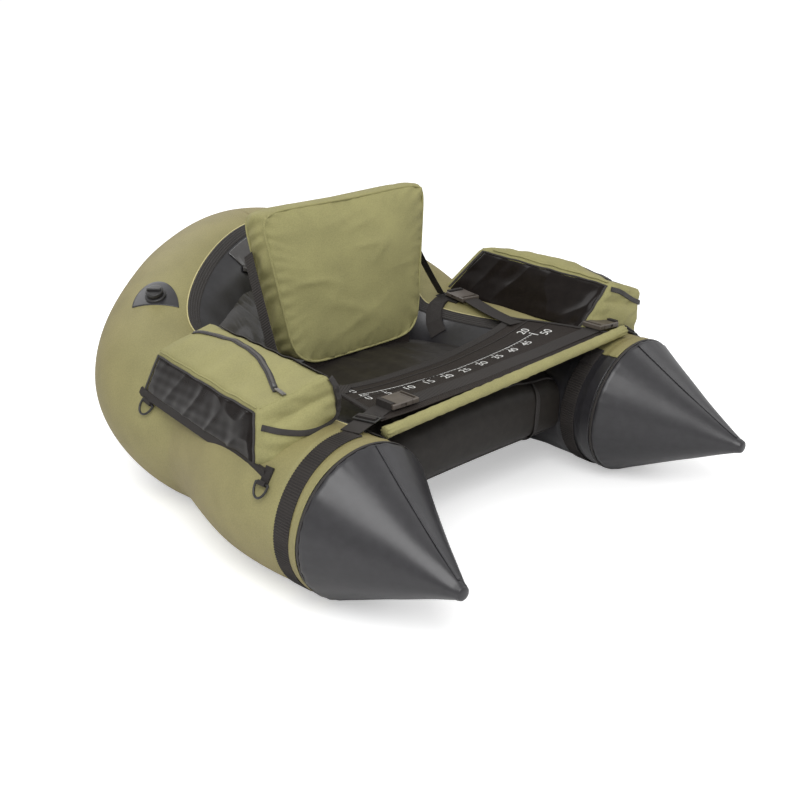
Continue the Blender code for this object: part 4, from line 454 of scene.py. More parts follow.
# Cover zips: a dark woven tape with five ridges, sewn over the top seam from behind the strap to the
# stern, and a pale piping at the olive edge. The tape is one profile carried along the seam.
TAPE_HALF, TAPE_LIFT, TAPE_START = 0.013, 0.0016, 0.0895
RIDGED_HALF, RIDGE_PITCH, RIDGE_HEIGHT = 0.0118, 0.0052, 0.0011
PIPING_SIZE, PIPING_OFFSET = 0.0026, 0.0145
for side, word in SIDES:
    d = np.linspace(TAPE_START, LENGTH, 330)
    across = np.linspace(-TAPE_HALF, TAPE_HALF, 61)
    ridges = RIDGE_HEIGHT * np.maximum(0, np.cos(math.tau * across / RIDGE_PITCH))
    ridges = ridges * (np.abs(across) < RIDGED_HALF)
    underside = [[0.0132, -0.002], [-0.0132, -0.002]]
    profile = np.concatenate([np.stack([across, TAPE_LIFT + ridges], -1), underside])
    grid = hull(d[:, None], TOP_SEAM + profile[None, :, 0] / RADIUS, profile[None, :, 1], side)
    add_grid(f"{word}_cover_zip", grid, TAPE, around=True, cap=True, flip=side > 0)
    lay_on_cover(f"{word}_piping", d, TOP_SEAM - PIPING_OFFSET / RADIUS, 0.0003, side,
                 PIPING_SIZE, PIPING_SIZE, PIPING, corner=1.0)


# Straps round the arms: ribbed webbing that lies flush in the cover behind the ring. Each has an
# end that is folded back on the arm's inner side and sewn down with two crossed rows of stitches.
WEB_WIDTH, WEB_THICK = 0.038, 0.0016
RIB_PITCH = 0.0055
DEEP_RIBS, FINE_RIBS = (RIB_PITCH, 0.0013), (RIB_PITCH, 0.0005)
for side, word, top in ((-1, "left", 100.0), (1, "right", 52.0)):
    turn = np.radians(np.linspace(top, -239.0, 200))
    lay_on_cover(f"{word}_arm_strap", STRAP_SETBACK, turn, 0.0011, side, WEB_WIDTH - 0.001, WEB_THICK,
                 WEBBING, corner=0.2, rib=DEEP_RIBS)
    end = np.radians(np.linspace(-243.0, -226.0, 12))
    lay_on_cover(f"{word}_sewn_end", STRAP_SETBACK, end, 0.0028, side, 0.036, 0.0022, FLAT_WEB, corner=0.3)
    for name, lean in (("a", -1), ("b", 1)):
        cross = STRAP_SETBACK + lean * np.linspace(-0.015, 0.015, 12)
        lay_on_cover(f"{word}_stitch_{name}", cross, end, 0.0040, side, 0.0014, 0.0008, TAPE, corner=1.0)


# Filling valves: a half-moon patch of coated cloth glued to each cover, a moulded flange with a
# neck, and a screw cap with knurls and a grip. The moulded pieces are turned profiles.
PLASTIC = paint("black_plastic", (0.022, 0.021, 0.021), 0.38, CRUMPLED, 90.0, 0.00008)
GREY = paint("buckle_plastic", (0.085, 0.070, 0.058), 0.42, CRUMPLED, 110.0, 0.00010)
FLANGE = [(0.0225, -0.004), (0.022, 0.004), (0.0205, 0.0055), (0.0155, 0.0056), (0.0135, 0.0058),
          (0.0135, 0.0112)]
CAP = [(0.0150, 0.0060), (0.0172, 0.0064), (0.0178, 0.0075), (0.0178, 0.0150), (0.0168, 0.0162),
       (0.0150, 0.0166)]
PATCH_Y, PATCH_OVER, PATCH_HALF, PATCH_ARC, PATCH_FLAT = 0.3678, math.radians(88.0), 0.050, 0.060, -0.0216


def placed(points, matrix):
    """Points turned and moved by a matrix."""
    matrix = np.array(matrix)
    return points @ matrix[:3, :3].T + matrix[:3, 3]


def add_lathe(name, profile, place, material, body, knurls=0):
    """A turned piece: a profile of (radius, height) round local Z; knurls wave its rim."""
    turn = np.linspace(0, math.tau, 72, endpoint=False)[None, :]
    radius, height = (np.array(profile, float)[:, c][:, None] for c in (0, 1))
    wide = radius * (1 + 0.03 * np.cos(turn * knurls) * (radius > 0.9 * radius.max())) if knurls else radius
    grid = np.stack([wide * np.cos(turn), wide * np.sin(turn), height + 0 * turn], -1)
    return add_grid(name, placed(grid, place), material, body, around=True, cap=True)


for side, word in SIDES:
    z = Vector((side * 0.34428, -0.23452, 0.9091))
    x = Vector((0.61861, side * 0.78506, side * -0.03175))
    place = Matrix((x, z.cross(x), z)).transposed().to_4x4()
    place.translation = (side * 0.33456, 0.33333, 0.38175)
    share = np.array([0.0, 0.25, 0.5, 0.75, 0.93, 1.0, 1.02])[:, None]
    turn = np.linspace(0, math.pi, 60)[None, :]
    flat = np.linspace(-PATCH_HALF, PATCH_HALF, 40)[None, 1:-1]
    local_y = np.concatenate([PATCH_HALF * np.cos(turn), flat], 1) * share
    local_x = np.concatenate([PATCH_FLAT + PATCH_ARC * np.sin(turn), PATCH_FLAT + 0 * flat], 1) * share
    lift = np.where(share > 1.01, -0.002, 0.0013)
    grid = hull(distance_at(PATCH_Y) + local_x, PATCH_OVER + local_y / RADIUS, lift, side)
    add_grid(f"{word}_valve_patch", grid[::-1], SATIN, around=True, flip=side > 0)
    add_lathe(f"{word}_valve_body", FLANGE, place, PLASTIC, "tube")
    add_lathe(f"{word}_valve_cap", CAP, place, PLASTIC, f"{word}_cap", knurls=24)
    half = np.linspace(-0.0145, 0.0145, 20)
    grip = placed(np.stack([half, 0 * half, 0.0185 + 0 * half], -1), place)
    add_strip(f"{word}_cap_grip", grip, z, 0.006, 0.006, PLASTIC, f"{word}_cap")


# Seat cushion: a foam block in black coated cloth, slung between the arms. Its section is a
# rounded box; its ends follow the arms, and its front has a piped seam.
SEAT_TOP, SEAT_HOLLOW, SEAT_FOOT = 0.252, 0.034, 0.077
SEAT_Y, SEAT_HALF, SEAT_POWER = -0.0527, 0.2295, 2 / 3.4
SEAT_FOLD, SEAT_PIPING = 0.004, 0.005


def seat(u, turn, grow=0.0):
    """A point of the seat: u from arm to arm, turn round the section, a superellipse that grow widens.
    Its half width is where the arm's skin stands at that height."""
    top = SEAT_TOP - SEAT_HOLLOW * (u * 0.20 / 0.213)**2
    c, s = boxed(turn, SEAT_POWER)
    y = SEAT_Y + (SEAT_HALF + grow) * c
    z = (top + SEAT_FOOT) / 2 + ((top - SEAT_FOOT) / 2 + grow) * s
    z = z + SEAT_FOLD * folds(u * 1.3, y * 3.0, 21) * np.maximum(0, np.sin(turn))
    axis = axis_at(distance_at(np.clip(y, -0.36, 0.30)))
    reach = axis[..., 0] - np.sqrt(np.maximum(RADIUS**2 - (z - axis[..., 2])**2, 0)) + 0.003
    return np.stack(np.broadcast_arrays(u * np.minimum(reach, 0.289), y, z), -1)


u, turn = np.linspace(-1, 1, 90)[:, None], np.linspace(0, math.tau, 160, endpoint=False)[None, :]
cushion = add_grid("seat_cushion", seat(u, turn), SEAT_CLOTH, around=True, cap=True)
for name, at in (("front_top", 2.45), ("front_base", 3.75), ("rear_top", 0.70)):
    across = np.linspace(-0.97, 0.97, 90)
    path = seat(across, at + 0 * across, 0.0005)
    add_strip(f"seat_piping_{name}", path, path - np.array([0, -0.05, 0.16]),
              SEAT_PIPING, SEAT_PIPING, TAPE, corner=1.0)
path = seat(np.full(40, 0.70), np.linspace(2.5, 4.3, 40), 0.0006)
add_strip("seat_seam", path, (0.2, -1.0, 0.1), 0.016, 0.0024, TAPE, corner=0.3)


# Backrest: a padded cushion in olive cloth that folds forward. A crowned box is blown up with its
# seams held, so the cloth draws into puckers along them.
BACK = Matrix.Translation((0.0, 0.0737, 0.2691)) @ Matrix.Rotation(math.radians(-8.4), 4, "X")
BACK_HALF_X, BACK_HALF_Z, BACK_HALF_Y, BACK_CROWN = 0.1955, 0.1555, 0.030, 0.024
FOOT_LOWER, FOOT_FORWARD = 0.015, 0.005
FACE_FOLD, SIDE_FOLD, CREASE_HEIGHT, FAN_HEIGHT = 0.0032, 0.0042, 0.0050, 0.0016
BLOW_PRESSURE, BLOW_MOST, BACK_PIPING = 3.0, 0.008, 0.0052


def back_point(a, b, c):
    """The crowned form on a cube: a across, b from front to rear, c upwards, each from -1 to 1. Its
    sides draw in between the corners, it widens upwards, and its faces swell by the fourth power."""
    draw_x, draw_z = 0.007 * (1 - c**2), 0.007 * (1 - a**2)
    corner = 0.0105 * np.abs(a * c)**6
    flare = 0.80 + 0.37 * np.sqrt(np.clip((c + 1) / 2, 0, 1))
    x = a * (BACK_HALF_X * flare - draw_x - corner) + 0.008 * (c + 1) / 2
    z = BACK_HALF_Z + c * (BACK_HALF_Z - np.where(c > 0, draw_z, -FOOT_LOWER) - corner)
    y = BACK_HALF_Y + b * (BACK_HALF_Y + BACK_CROWN * (1 - a**4) * (1 - c**4))
    y = y - FOOT_FORWARD * np.clip(-c, 0, 1)**6 * np.clip(-b, 0, 1)
    swell = 0.007 * (1 - b**2)
    return np.stack([x + swell * np.sign(a) * np.abs(a)**9, y, z + swell * np.clip(c, 0, 1)**9], -1)


def points_of(mesh):
    """A mesh's points, one in each row."""
    flat = np.zeros(len(mesh.vertices) * 3)
    mesh.vertices.foreach_get("co", flat)
    return flat.reshape(-1, 3)


def cube_grid(count):
    """The points and faces of a cube from -1 to 1, cut evenly, as one closed mesh."""
    shape = bmesh.new()
    bmesh.ops.create_cube(shape, size=2.0)
    bmesh.ops.subdivide_edges(shape, edges=shape.edges, cuts=count, use_grid_fill=True)
    mesh = bpy.data.meshes.new("cube")
    shape.to_mesh(mesh)
    shape.free()
    return points_of(mesh), [tuple(face.vertices) for face in mesh.polygons]


def wall_uvs(points, faces):
    """UVs in metres for a box-like piece: X plus Y along, Z up."""
    corners = points[np.array(faces).ravel()]
    return np.stack([corners[:, 0] + corners[:, 1], corners[:, 2]], -1)


cube, cube_faces = cube_grid(39)
a, b, c = cube.T
on_face, on_side, on_top = np.abs(b) > 0.97, np.abs(a) > 0.999, c > 0.999
from_rim, around = 1 - np.maximum(np.abs(a), np.abs(c)), np.arctan2(c, a)
pull = np.exp(-(from_rim / 0.07)**2) * np.exp(-((1 - np.abs(b)) / 0.30)**2)
nearer = np.exp(-(from_rim / 0.13)**2)
gather = np.sin(around * 46 + 2.5 * np.sin(around * 5)) + 0.6 * np.sin(around * 83)
gather_depth = 0.0016 + 0.0045 * np.abs(a * c)**3 + 0.0004 * np.clip(-c, 0, 1)**6
made = back_point(a, b, c)
made[:, 1] += np.sign(b) * nearer * gather * gather_depth * on_face
made[:, 1] += np.sign(b) * folds(a * 0.7 + c * 0.4, c * 0.6, 33) * FACE_FOLD * on_face
side_wave = np.sin(c * 27 + 3 * b + 2 * np.sin(c * 9)) * SIDE_FOLD * (1 - b**2)
made[:, 0] += np.where(on_side, np.sign(a) * side_wave, 0)
made[:, 2] += np.where(on_top, np.sin(a * 31 + 2 * b) * 0.0009 * (1 - b**2), 0)
backrest = add_mesh("backrest_cushion", made, cube_faces, wall_uvs(made, cube_faces), OLIVE, None)


def blow_up(piece, held, pressure, most, frames=20):
    """Cloth simulation under pressure with the held points pinned; no point moves further than most."""
    before = points_of(piece.data)
    group = piece.vertex_groups.new(name="seams")
    group.add([int(i) for i in np.flatnonzero(held)], 1.0, "REPLACE")
    cloth = piece.modifiers.new("Cloth", "CLOTH")
    rules = cloth.settings
    rules.quality, rules.mass, rules.tension_stiffness, rules.compression_stiffness = 6, 0.25, 18.0, 18.0
    rules.bending_stiffness, rules.vertex_group_mass = 0.35, "seams"
    rules.use_pressure, rules.uniform_pressure_force = True, pressure
    rules.effector_weights.gravity = 0.0
    cloth.point_cache.frame_start, cloth.point_cache.frame_end = 1, frames
    scene = bpy.context.scene
    for at in range(1, frames + 1):
        scene.frame_set(at)
    move = points_of(piece.evaluated_get(bpy.context.evaluated_depsgraph_get()).data) - before
    move *= np.minimum(1.0, most / np.maximum(np.linalg.norm(move, axis=1, keepdims=True), 1e-9))
    piece.modifiers.remove(cloth)
    piece.vertex_groups.clear()
    scene.frame_set(1)
    piece.data.vertices.foreach_set("co", (before + move).ravel())
    piece.data.update()


blow_up(backrest, (pull > 0.75) | (c < -0.98), BLOW_PRESSURE, BLOW_MOST)
# The cloth's own creases: sharp short ridges, slanting over the face, drawn after it is blown up.
ridge = np.clip(1 - np.abs(folds(a * 0.55 + c * 0.25, c * 0.9 - a * 0.35, 37, high=2.4)) * 2.2, 0, 1)**2
broken = np.clip(folds(a * 0.6, c * 0.8, 39, high=1.8) + 0.35, 0, 1)
near_seam = np.clip(1 - from_rim / 0.35, 0, 1)
fan = np.sin(around * 37 + 2 * np.sin(around * 7))
relief = points_of(backrest.data)
height = CREASE_HEIGHT * ridge * broken + FAN_HEIGHT * near_seam * fan
relief[:, 1] += np.sign(b) * on_face * height * (1 - nearer)
backrest.data.vertices.foreach_set("co", relief.ravel())
backrest.data.transform(BACK)
smooth = backrest.modifiers.new("Smooth", "SUBSURF")
smooth.levels = smooth.render_levels = 1
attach(backrest, "backrest")
turn = np.linspace(0, math.tau, 240, endpoint=False)
a, c = boxed(turn, 2 / 14)
for name, b in (("front", -0.97), ("rear", 0.97)):
    rim = back_point(a, b + 0 * a, c)
    rim[:, 0] *= 1.006
    rim[:, 2] = BACK_HALF_Z + (rim[:, 2] - BACK_HALF_Z) * np.where(c > 0, 1.008, 1.002)
    away = np.stack([np.cos(turn), 0.8 * np.sign(b) + 0 * turn, np.sin(turn)], -1)
    add_strip(f"backrest_piping_{name}", placed(rim, BACK), away @ np.array(BACK)[:3, :3].T,
              BACK_PIPING, BACK_PIPING, OLIVE, "backrest", corner=1.0, loop=True)


# Straps that hold the backrest: thin webbing from the cushion's sides down to the junctions on the
# arms, slightly slack.
BACK_STRAP_WIDTH, BACK_STRAP_SLACK, STRAP_TOP = 0.025, 0.006, (0.2190, 0.058, 0.225)
for side, word, y, ahead, over in ((-1, "left", 0.0038, -0.016, 115.0), (1, "right", 0.1268, 0.036, 98.0)):
    top = BACK @ Vector((side * STRAP_TOP[0], *STRAP_TOP[1:]))
    foot = Vector(hull(distance_at(y) + ahead, math.radians(over), 0.0045, side))
    at = np.linspace(0, 1, 40)[:, None]
    path = np.array(top) * (1 - at) + np.array(foot) * at
    path[:, 2] -= BACK_STRAP_SLACK * (4 * at * (1 - at))[:, 0]
    run = unit(np.array(foot - top))
    wide = unit(np.array([0.0, 1.0, 0.0]) - run * run[1])
    strap = add_strip(f"{word}_back_strap", path, np.cross(run, wide) * side, BACK_STRAP_WIDTH, WEB_THICK,
                      WEBBING, None, corner=0.2, rib=FINE_RIBS)
    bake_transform(strap)


# Lap apron: black cloth across the arms, hanging between them. Its rear edge is bound with
# webbing, its front edge runs into an olive sleeve, and a ruler is printed on it in white.
APRON_CLOTH = paint("apron_cloth", (0.019, 0.0135, 0.0105), 0.72, WOVEN, 620.0, 0.00010,
                    shine=0.3)
INK = paint("white_print", (0.72, 0.72, 0.70), 0.6, WOVEN, 620.0, 0.00005)
APRON_LEFT, APRON_RIGHT, APRON_FRONT, APRON_SAG = -0.302, 0.372, -0.3172, 0.027
TRIM_LIFT, TAB_LIFT, TAB_SLACK = 0.0022, 0.0026, 0.004
RULER_X, RULER_Y, RULER_BOW, INK_LIFT = -0.240, -0.1900, 0.018, 0.0018
UP = (0, 0, 1.0)


def arm_top(x, y):
    """Height of the arm's skin over a plan point, or zero beside the arm."""
    axis = axis_at(distance_at(y))
    inside = RADIUS**2 - (np.abs(x) - axis[..., 0])**2
    return np.where(inside > 0, axis[..., 2] + np.sqrt(np.maximum(inside, 0)), 0)


def apron_height(x, y):
    """Height of the apron's underside: a hanging parabola, or the arm's skin where that is higher."""
    share = (x - APRON_LEFT) / (APRON_RIGHT - APRON_LEFT)
    level = 0.2905 + 0.0105 * share
    sag = APRON_SAG * (0.22 + 0.60 * (y - APRON_FRONT) / 0.184)
    free = level - sag * np.maximum(0, 4 * share * (1 - share))
    rest = arm_top(x, y) + 0.001
    return np.maximum(free, rest) + 0.0035 * np.exp(-np.abs(free - rest) / 0.004) * (rest > 0.25)


def apron_plan(u, v):
    """Plan place at shares u across and v from front to rear; the rear edge bows forward."""
    left, right = APRON_LEFT + 0.038 * v, APRON_RIGHT - 0.060 * v
    rear = -0.1332 + 0.050 * u - 0.080 * u * (1 - u)
    return left + (right - left) * u, APRON_FRONT + (rear - APRON_FRONT) * v


def on_apron(x, y, lift):
    """A point over the apron, with its soft folds."""
    wave = folds(x * 3.2, y * 2.4, 51, low=0.6, high=2.2) * 0.0016 * np.clip((y + 0.330) / 0.02, 0, 1)
    return np.stack([x, y, apron_height(x, y) + 0.0012 + wave + lift], -1)


x, y = apron_plan(np.linspace(0, 1, 170)[:, None], np.linspace(0, 1, 70)[None, :])
apron = add_grid("lap_apron", on_apron(x, y, 0.0012), APRON_CLOTH, flip=True, thick=SHELL)
across, along = np.linspace(0.004, 0.996, 150), np.linspace(0.02, 0.98, 40)
for name, u, v, wide, thick, look in (
        ("binding_rear", across, 0.965, 0.020, 0.0022, FLAT_WEB),
        ("binding_rear_fold", across, 0.80, 0.0016, 0.0010, TAPE),
        ("binding_mid_stitch", across, 0.60, 0.0012, 0.0008, TAPE),
        ("edge_left", 0.012, along, 0.010, 0.0020, FLAT_WEB),
        ("edge_right", 0.988, along, 0.010, 0.0020, FLAT_WEB)):
    path = on_apron(*apron_plan(u, v), TRIM_LIFT)
    add_strip(f"apron_{name}", path, UP, wide, thick, look, corner=0.3)
# The corner tabs run from the apron to the rear buckles' tongues.
for name, u_at, toward in (("left", 1 / 18, (0.57132, -0.82073, 0.0)),
                           ("right", 17 / 18, (-0.19957, -0.97988, 0.0))):
    x, y = apron_plan(np.array([u_at]), np.array([6 / 7]))
    corners = points_of(NODES[f"{name}_rear_tongue"].data)
    reach = corners @ np.array(toward)
    start = corners[reach > reach.max() - 0.004].mean(0) - 0.006 * np.array(toward)
    end = on_apron(x, y, 0.0030)[0]
    at = np.linspace(0, 1, 30)[:, None]
    path = start * (1 - at) + end * at
    path[:, 2] = np.maximum(path[:, 2], arm_top(path[:, 0], path[:, 1]) + TAB_LIFT)
    path[:, 2] -= TAB_SLACK * np.sin(math.pi * at[:, 0])
    tab = add_strip(f"apron_tab_{name}", path, UP, WEB_WIDTH, 0.0020, WEBBING, None, corner=0.2,
                    rib=FINE_RIBS)
    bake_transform(tab)


def bars(rows):
    """Quads for (x, width, y, height) rows, cut in short pieces so that they follow the cloth."""
    cuts = 12
    x, w, y, h = np.array(rows, float).T[:, :, None]
    s = np.linspace(0, 1, cuts + 1)[None, :]
    low = np.stack([x + w * s, y + 0 * s], -1)
    high = low + np.stack([0 * s + 0 * h, 0 * s + h], -1)
    points = np.concatenate([low, high], 1).reshape(-1, 2)
    base = (np.arange(len(rows)) * 2 * (cuts + 1))[:, None] + np.arange(cuts)[None, :]
    quads = np.stack([base, base + 1, base + cuts + 2, base + cuts + 1], -1).reshape(-1, 4)
    return points, quads.tolist()


# The ruler reads from the front: 0 to 50 centimetres, and 0 and 20 inches above it.
ticks = [(0.05 * i - 0.0008, 0.0016, -0.009, 0.009) for i in range(11)]
ticks += [(0.40 + 0.01 * i - 0.0006, 0.0012, -0.005, 0.005) for i in range(10)]
ticks += [(0.05 * i + 0.01 * j - 0.0004, 0.0008, -0.004, 0.004) for i in range(8) for j in range(1, 5)]
ticks += [(0.0, 0.50, -0.0006, 0.0013), (0.5, 0.0030, -0.016, 0.026)]
numerals = [(str(5 * i), 0.05 * i, -0.029, 0.026) for i in range(1, 10)]
numerals += [("0", 0.002, -0.033, 0.026), ("50", 0.524, -0.032, 0.030), ("cm", 0.006, -0.012, 0.015),
             ("0", 0.004, 0.014, 0.026), ("20", 0.502, 0.016, 0.030)]
points, faces = bars(ticks)
for text, x, y, size in numerals:
    letters = bpy.data.curves.new("numeral", "FONT")
    letters.body, letters.size, letters.align_x = text, size, "CENTER"
    holder = bpy.data.objects.new("numeral", letters)
    bpy.context.scene.collection.objects.link(holder)
    bpy.context.view_layer.update()
    mesh = bpy.data.meshes.new_from_object(holder.evaluated_get(bpy.context.evaluated_depsgraph_get()))
    faces += [tuple(len(points) + i for i in face.vertices) for face in mesh.polygons]
    points = np.vstack([points, points_of(mesh)[:, :2] + np.array([x, y])])
    bpy.data.objects.remove(holder)
bow = 1 - ((points[:, 0] - 0.25) / 0.25)**2
ink = on_apron(RULER_X + points[:, 0], RULER_Y - RULER_BOW * bow + points[:, 1], INK_LIFT)
no_uvs = np.zeros((sum(len(face) for face in faces), 2))
add_mesh("ruler_print", ink, faces, no_uvs, INK, "tube")

# The sleeve of olive cloth round the spreader bar, pinched where it is tied at both ends.
SLEEVE_Y, SLEEVE_RADIUS = APRON_FRONT - 0.0103, 0.0108
at = np.linspace(0, 1, 160)[:, None]
turn = np.linspace(0, math.tau, 40, endpoint=False)[None, :]
start, end = (np.array([x, SLEEVE_Y, float(arm_top(over, SLEEVE_Y)) + 0.011])
              for x, over in ((-0.303, -0.303), (0.398, 0.392)))
pinch = np.exp(-at * 0.7 / 0.02) + np.exp(-(1 - at) * 0.7 / 0.02)
radius = SLEEVE_RADIUS + 0.0007 * folds(at * 9, turn / 6, 61) + 0.0014 * pinch * np.sin(turn * 9)
centre = start * (1 - at) + end * at
grid = centre[:, None] + np.stack([0 * radius, radius * np.cos(turn), radius * np.sin(turn)], -1)
add_grid("apron_sleeve", grid, OLIVE, around=True, cap=True)
add_strip("sleeve_seam", grid[4:-4, 2], (0, 1.0, 0.3), 0.004, 0.0014, OLIVE, corner=0.5)
x = np.linspace(-0.2053, 0.3640, 160)
add_strip("apron_band", on_apron(x, -0.2772 + 0 * x, 0.0026), UP, WEB_WIDTH, 0.0018, WEBBING, corner=0.2,
          rib=FINE_RIBS)


# Gear bags: an olive cloth box on each arm that sags on its stuffing, with a glossy coated panel on
# its outer and inner side, an arched zip in the lid, and a front pocket under a bound flap.
BAG_CORNERS = {(-1, 1, -1): (0.357, 0.2068, 0.2620), (-1, -1, -1): (0.348, -0.2400, 0.2760),
               (1, 1, -1): (0.470, 0.2048, 0.2400), (1, -1, -1): (0.513, -0.2352, 0.2260),
               (-1, 1, 1): (0.358, 0.1018, 0.3880), (-1, -1, 1): (0.380, -0.2640, 0.3860),
               (1, 1, 1): (0.464, 0.1388, 0.3450), (1, -1, 1): (0.508, -0.2332, 0.3460)}
LID_CROWN = {-1: 0.012, 1: 0.026}
SIDE_BULGE, FRONT_BULGE, POCKET_DEPTH, CLOTH_FOLD = 0.006, 0.006, 0.022, 0.0022
BAG_HALF, BAG_SOFT = np.array([0.055, 0.200, 0.060]), 0.011
COIL = paint("zip_coil", (0.115, 0.108, 0.102), 0.45, WOVEN, 900.0, 0.0001)
COIL_RIBS = (0.0022, 0.0006)
# Knots over the lid as (rear share, outer share), and over the front as (outer share, upper share).
ZIPS = {-1: [(0.93, -0.20), (0.70, -0.42), (0.39, -0.54), (0.0, -0.47), (-0.43, -0.20), (-0.86, 0.235)],
        1: [(0.93, 0.35), (0.60, 0.45), (0.20, 0.50), (-0.20, 0.46), (-0.55, 0.32), (-0.79, 0.075)]}
FLAPS = {-1: [(-0.99, 0.95), (-0.985, 0.60), (-0.98, 0.20), (-0.97, -0.20), (-0.92, -0.50), (-0.70, -0.56),
              (-0.35, -0.42), (0.05, -0.22), (0.45, 0.06), (0.80, 0.34), (0.97, 0.48)],
         1: [(-0.99, 0.80), (-0.50, 0.76), (0.0, 0.66), (0.50, 0.56), (0.99, 0.50)]}


def bag(side, a, b, c):
    """A point of the bag's soft box: a from inner to outer side, b to the rear, c upwards. Blended
    corners, then a crown on the lid, bulging sides, a full front pocket and soft folds."""
    a, b, c = together(a, b, c)
    point = np.zeros(a.shape + (3,))
    for (i, j, k), spot in BAG_CORNERS.items():
        lean = (0.056 if i < 0 else 0.030) if side > 0 and k > 0 else 0.0
        tall = (0.014 if j > 0 else 0.003) if side > 0 and k > 0 and i < 0 else 0.0
        out = 0.022 if side > 0 and i > 0 and j < 0 else 0.0
        share = (1 + a * i) * (1 + b * j) * (1 + c * k) / 8
        point += share[..., None] * (np.array(spot) + np.array([lean + out, -out, tall]))
    crown = LID_CROWN[side] * np.clip((b + 0.78) / 0.5, 0, 1)
    point[..., 2] += crown * (1 - a**2) * (1 - b**4) * np.clip(c, 0, None)
    on_side = np.clip(np.abs(a) - 0.8, 0, 0.2) / 0.2
    point[..., 0] += np.sign(a) * on_side * (1 - b**2) * (1 - c**2) * SIDE_BULGE
    pocket = np.clip(1 - (a / 0.92)**2, 0, 1)**0.7 * np.clip(1 - ((c + 0.28) / 0.62)**2, 0, 1)**0.6
    at_front = np.clip(-b - 0.8, 0, 0.2) / 0.2
    point[..., 1] -= at_front * (POCKET_DEPTH * pocket + FRONT_BULGE * (1 - a**4))
    inner_front = np.clip(-a, 0, 1)**2 * np.clip(-b, 0, 1)**4 * (1 - c**2)
    point[..., 0] -= inner_front * 0.006 + at_front * np.clip(-a, 0, 1)**3 * (1 - c**4) * 0.006
    point[..., 1] -= inner_front * 0.012 + np.clip(-b, 0, 1)**6 * folds(a * 0.8, c * 0.7, 73) * CLOTH_FOLD
    edge = np.exp(-(1 - np.abs(a)) / 0.10) * (1 - b**6) * np.sin(b * 17 + 2.2 * np.sin(5 * b)) * 0.0008
    point[..., 2] += np.clip(c, 0, 1)**4 * (edge + folds(a * 0.4, b * 1.1, 71 + side) * CLOTH_FOLD)
    point[..., 0] *= side
    return point


def bag_shape(side, cube):
    """The cube's points on the bag, with its edges rounded off."""
    inner = np.clip(cube * BAG_HALF, BAG_SOFT - BAG_HALF, BAG_HALF - BAG_SOFT)
    return bag(side, *((inner + BAG_SOFT * unit(cube * BAG_HALF - inner)) / BAG_HALF).T)


def crumple(b, c, seed):
    """Creases of a coated panel: upright folds that are strongest at its front end."""
    front = 0.35 + 0.65 * np.exp(-(b + 0.95) / 0.45)
    upright = folds(b * 1.2 + 0.25 * c, c * 0.25, seed, high=2.0)
    creases = 0.0075 * np.clip(1 - 1.5 * np.abs(upright), 0, 1)**1.5 * front
    return (creases + 0.0007 * folds(b * 2, c * 0.8, seed + 1)) * (1 - np.abs(c)**8)


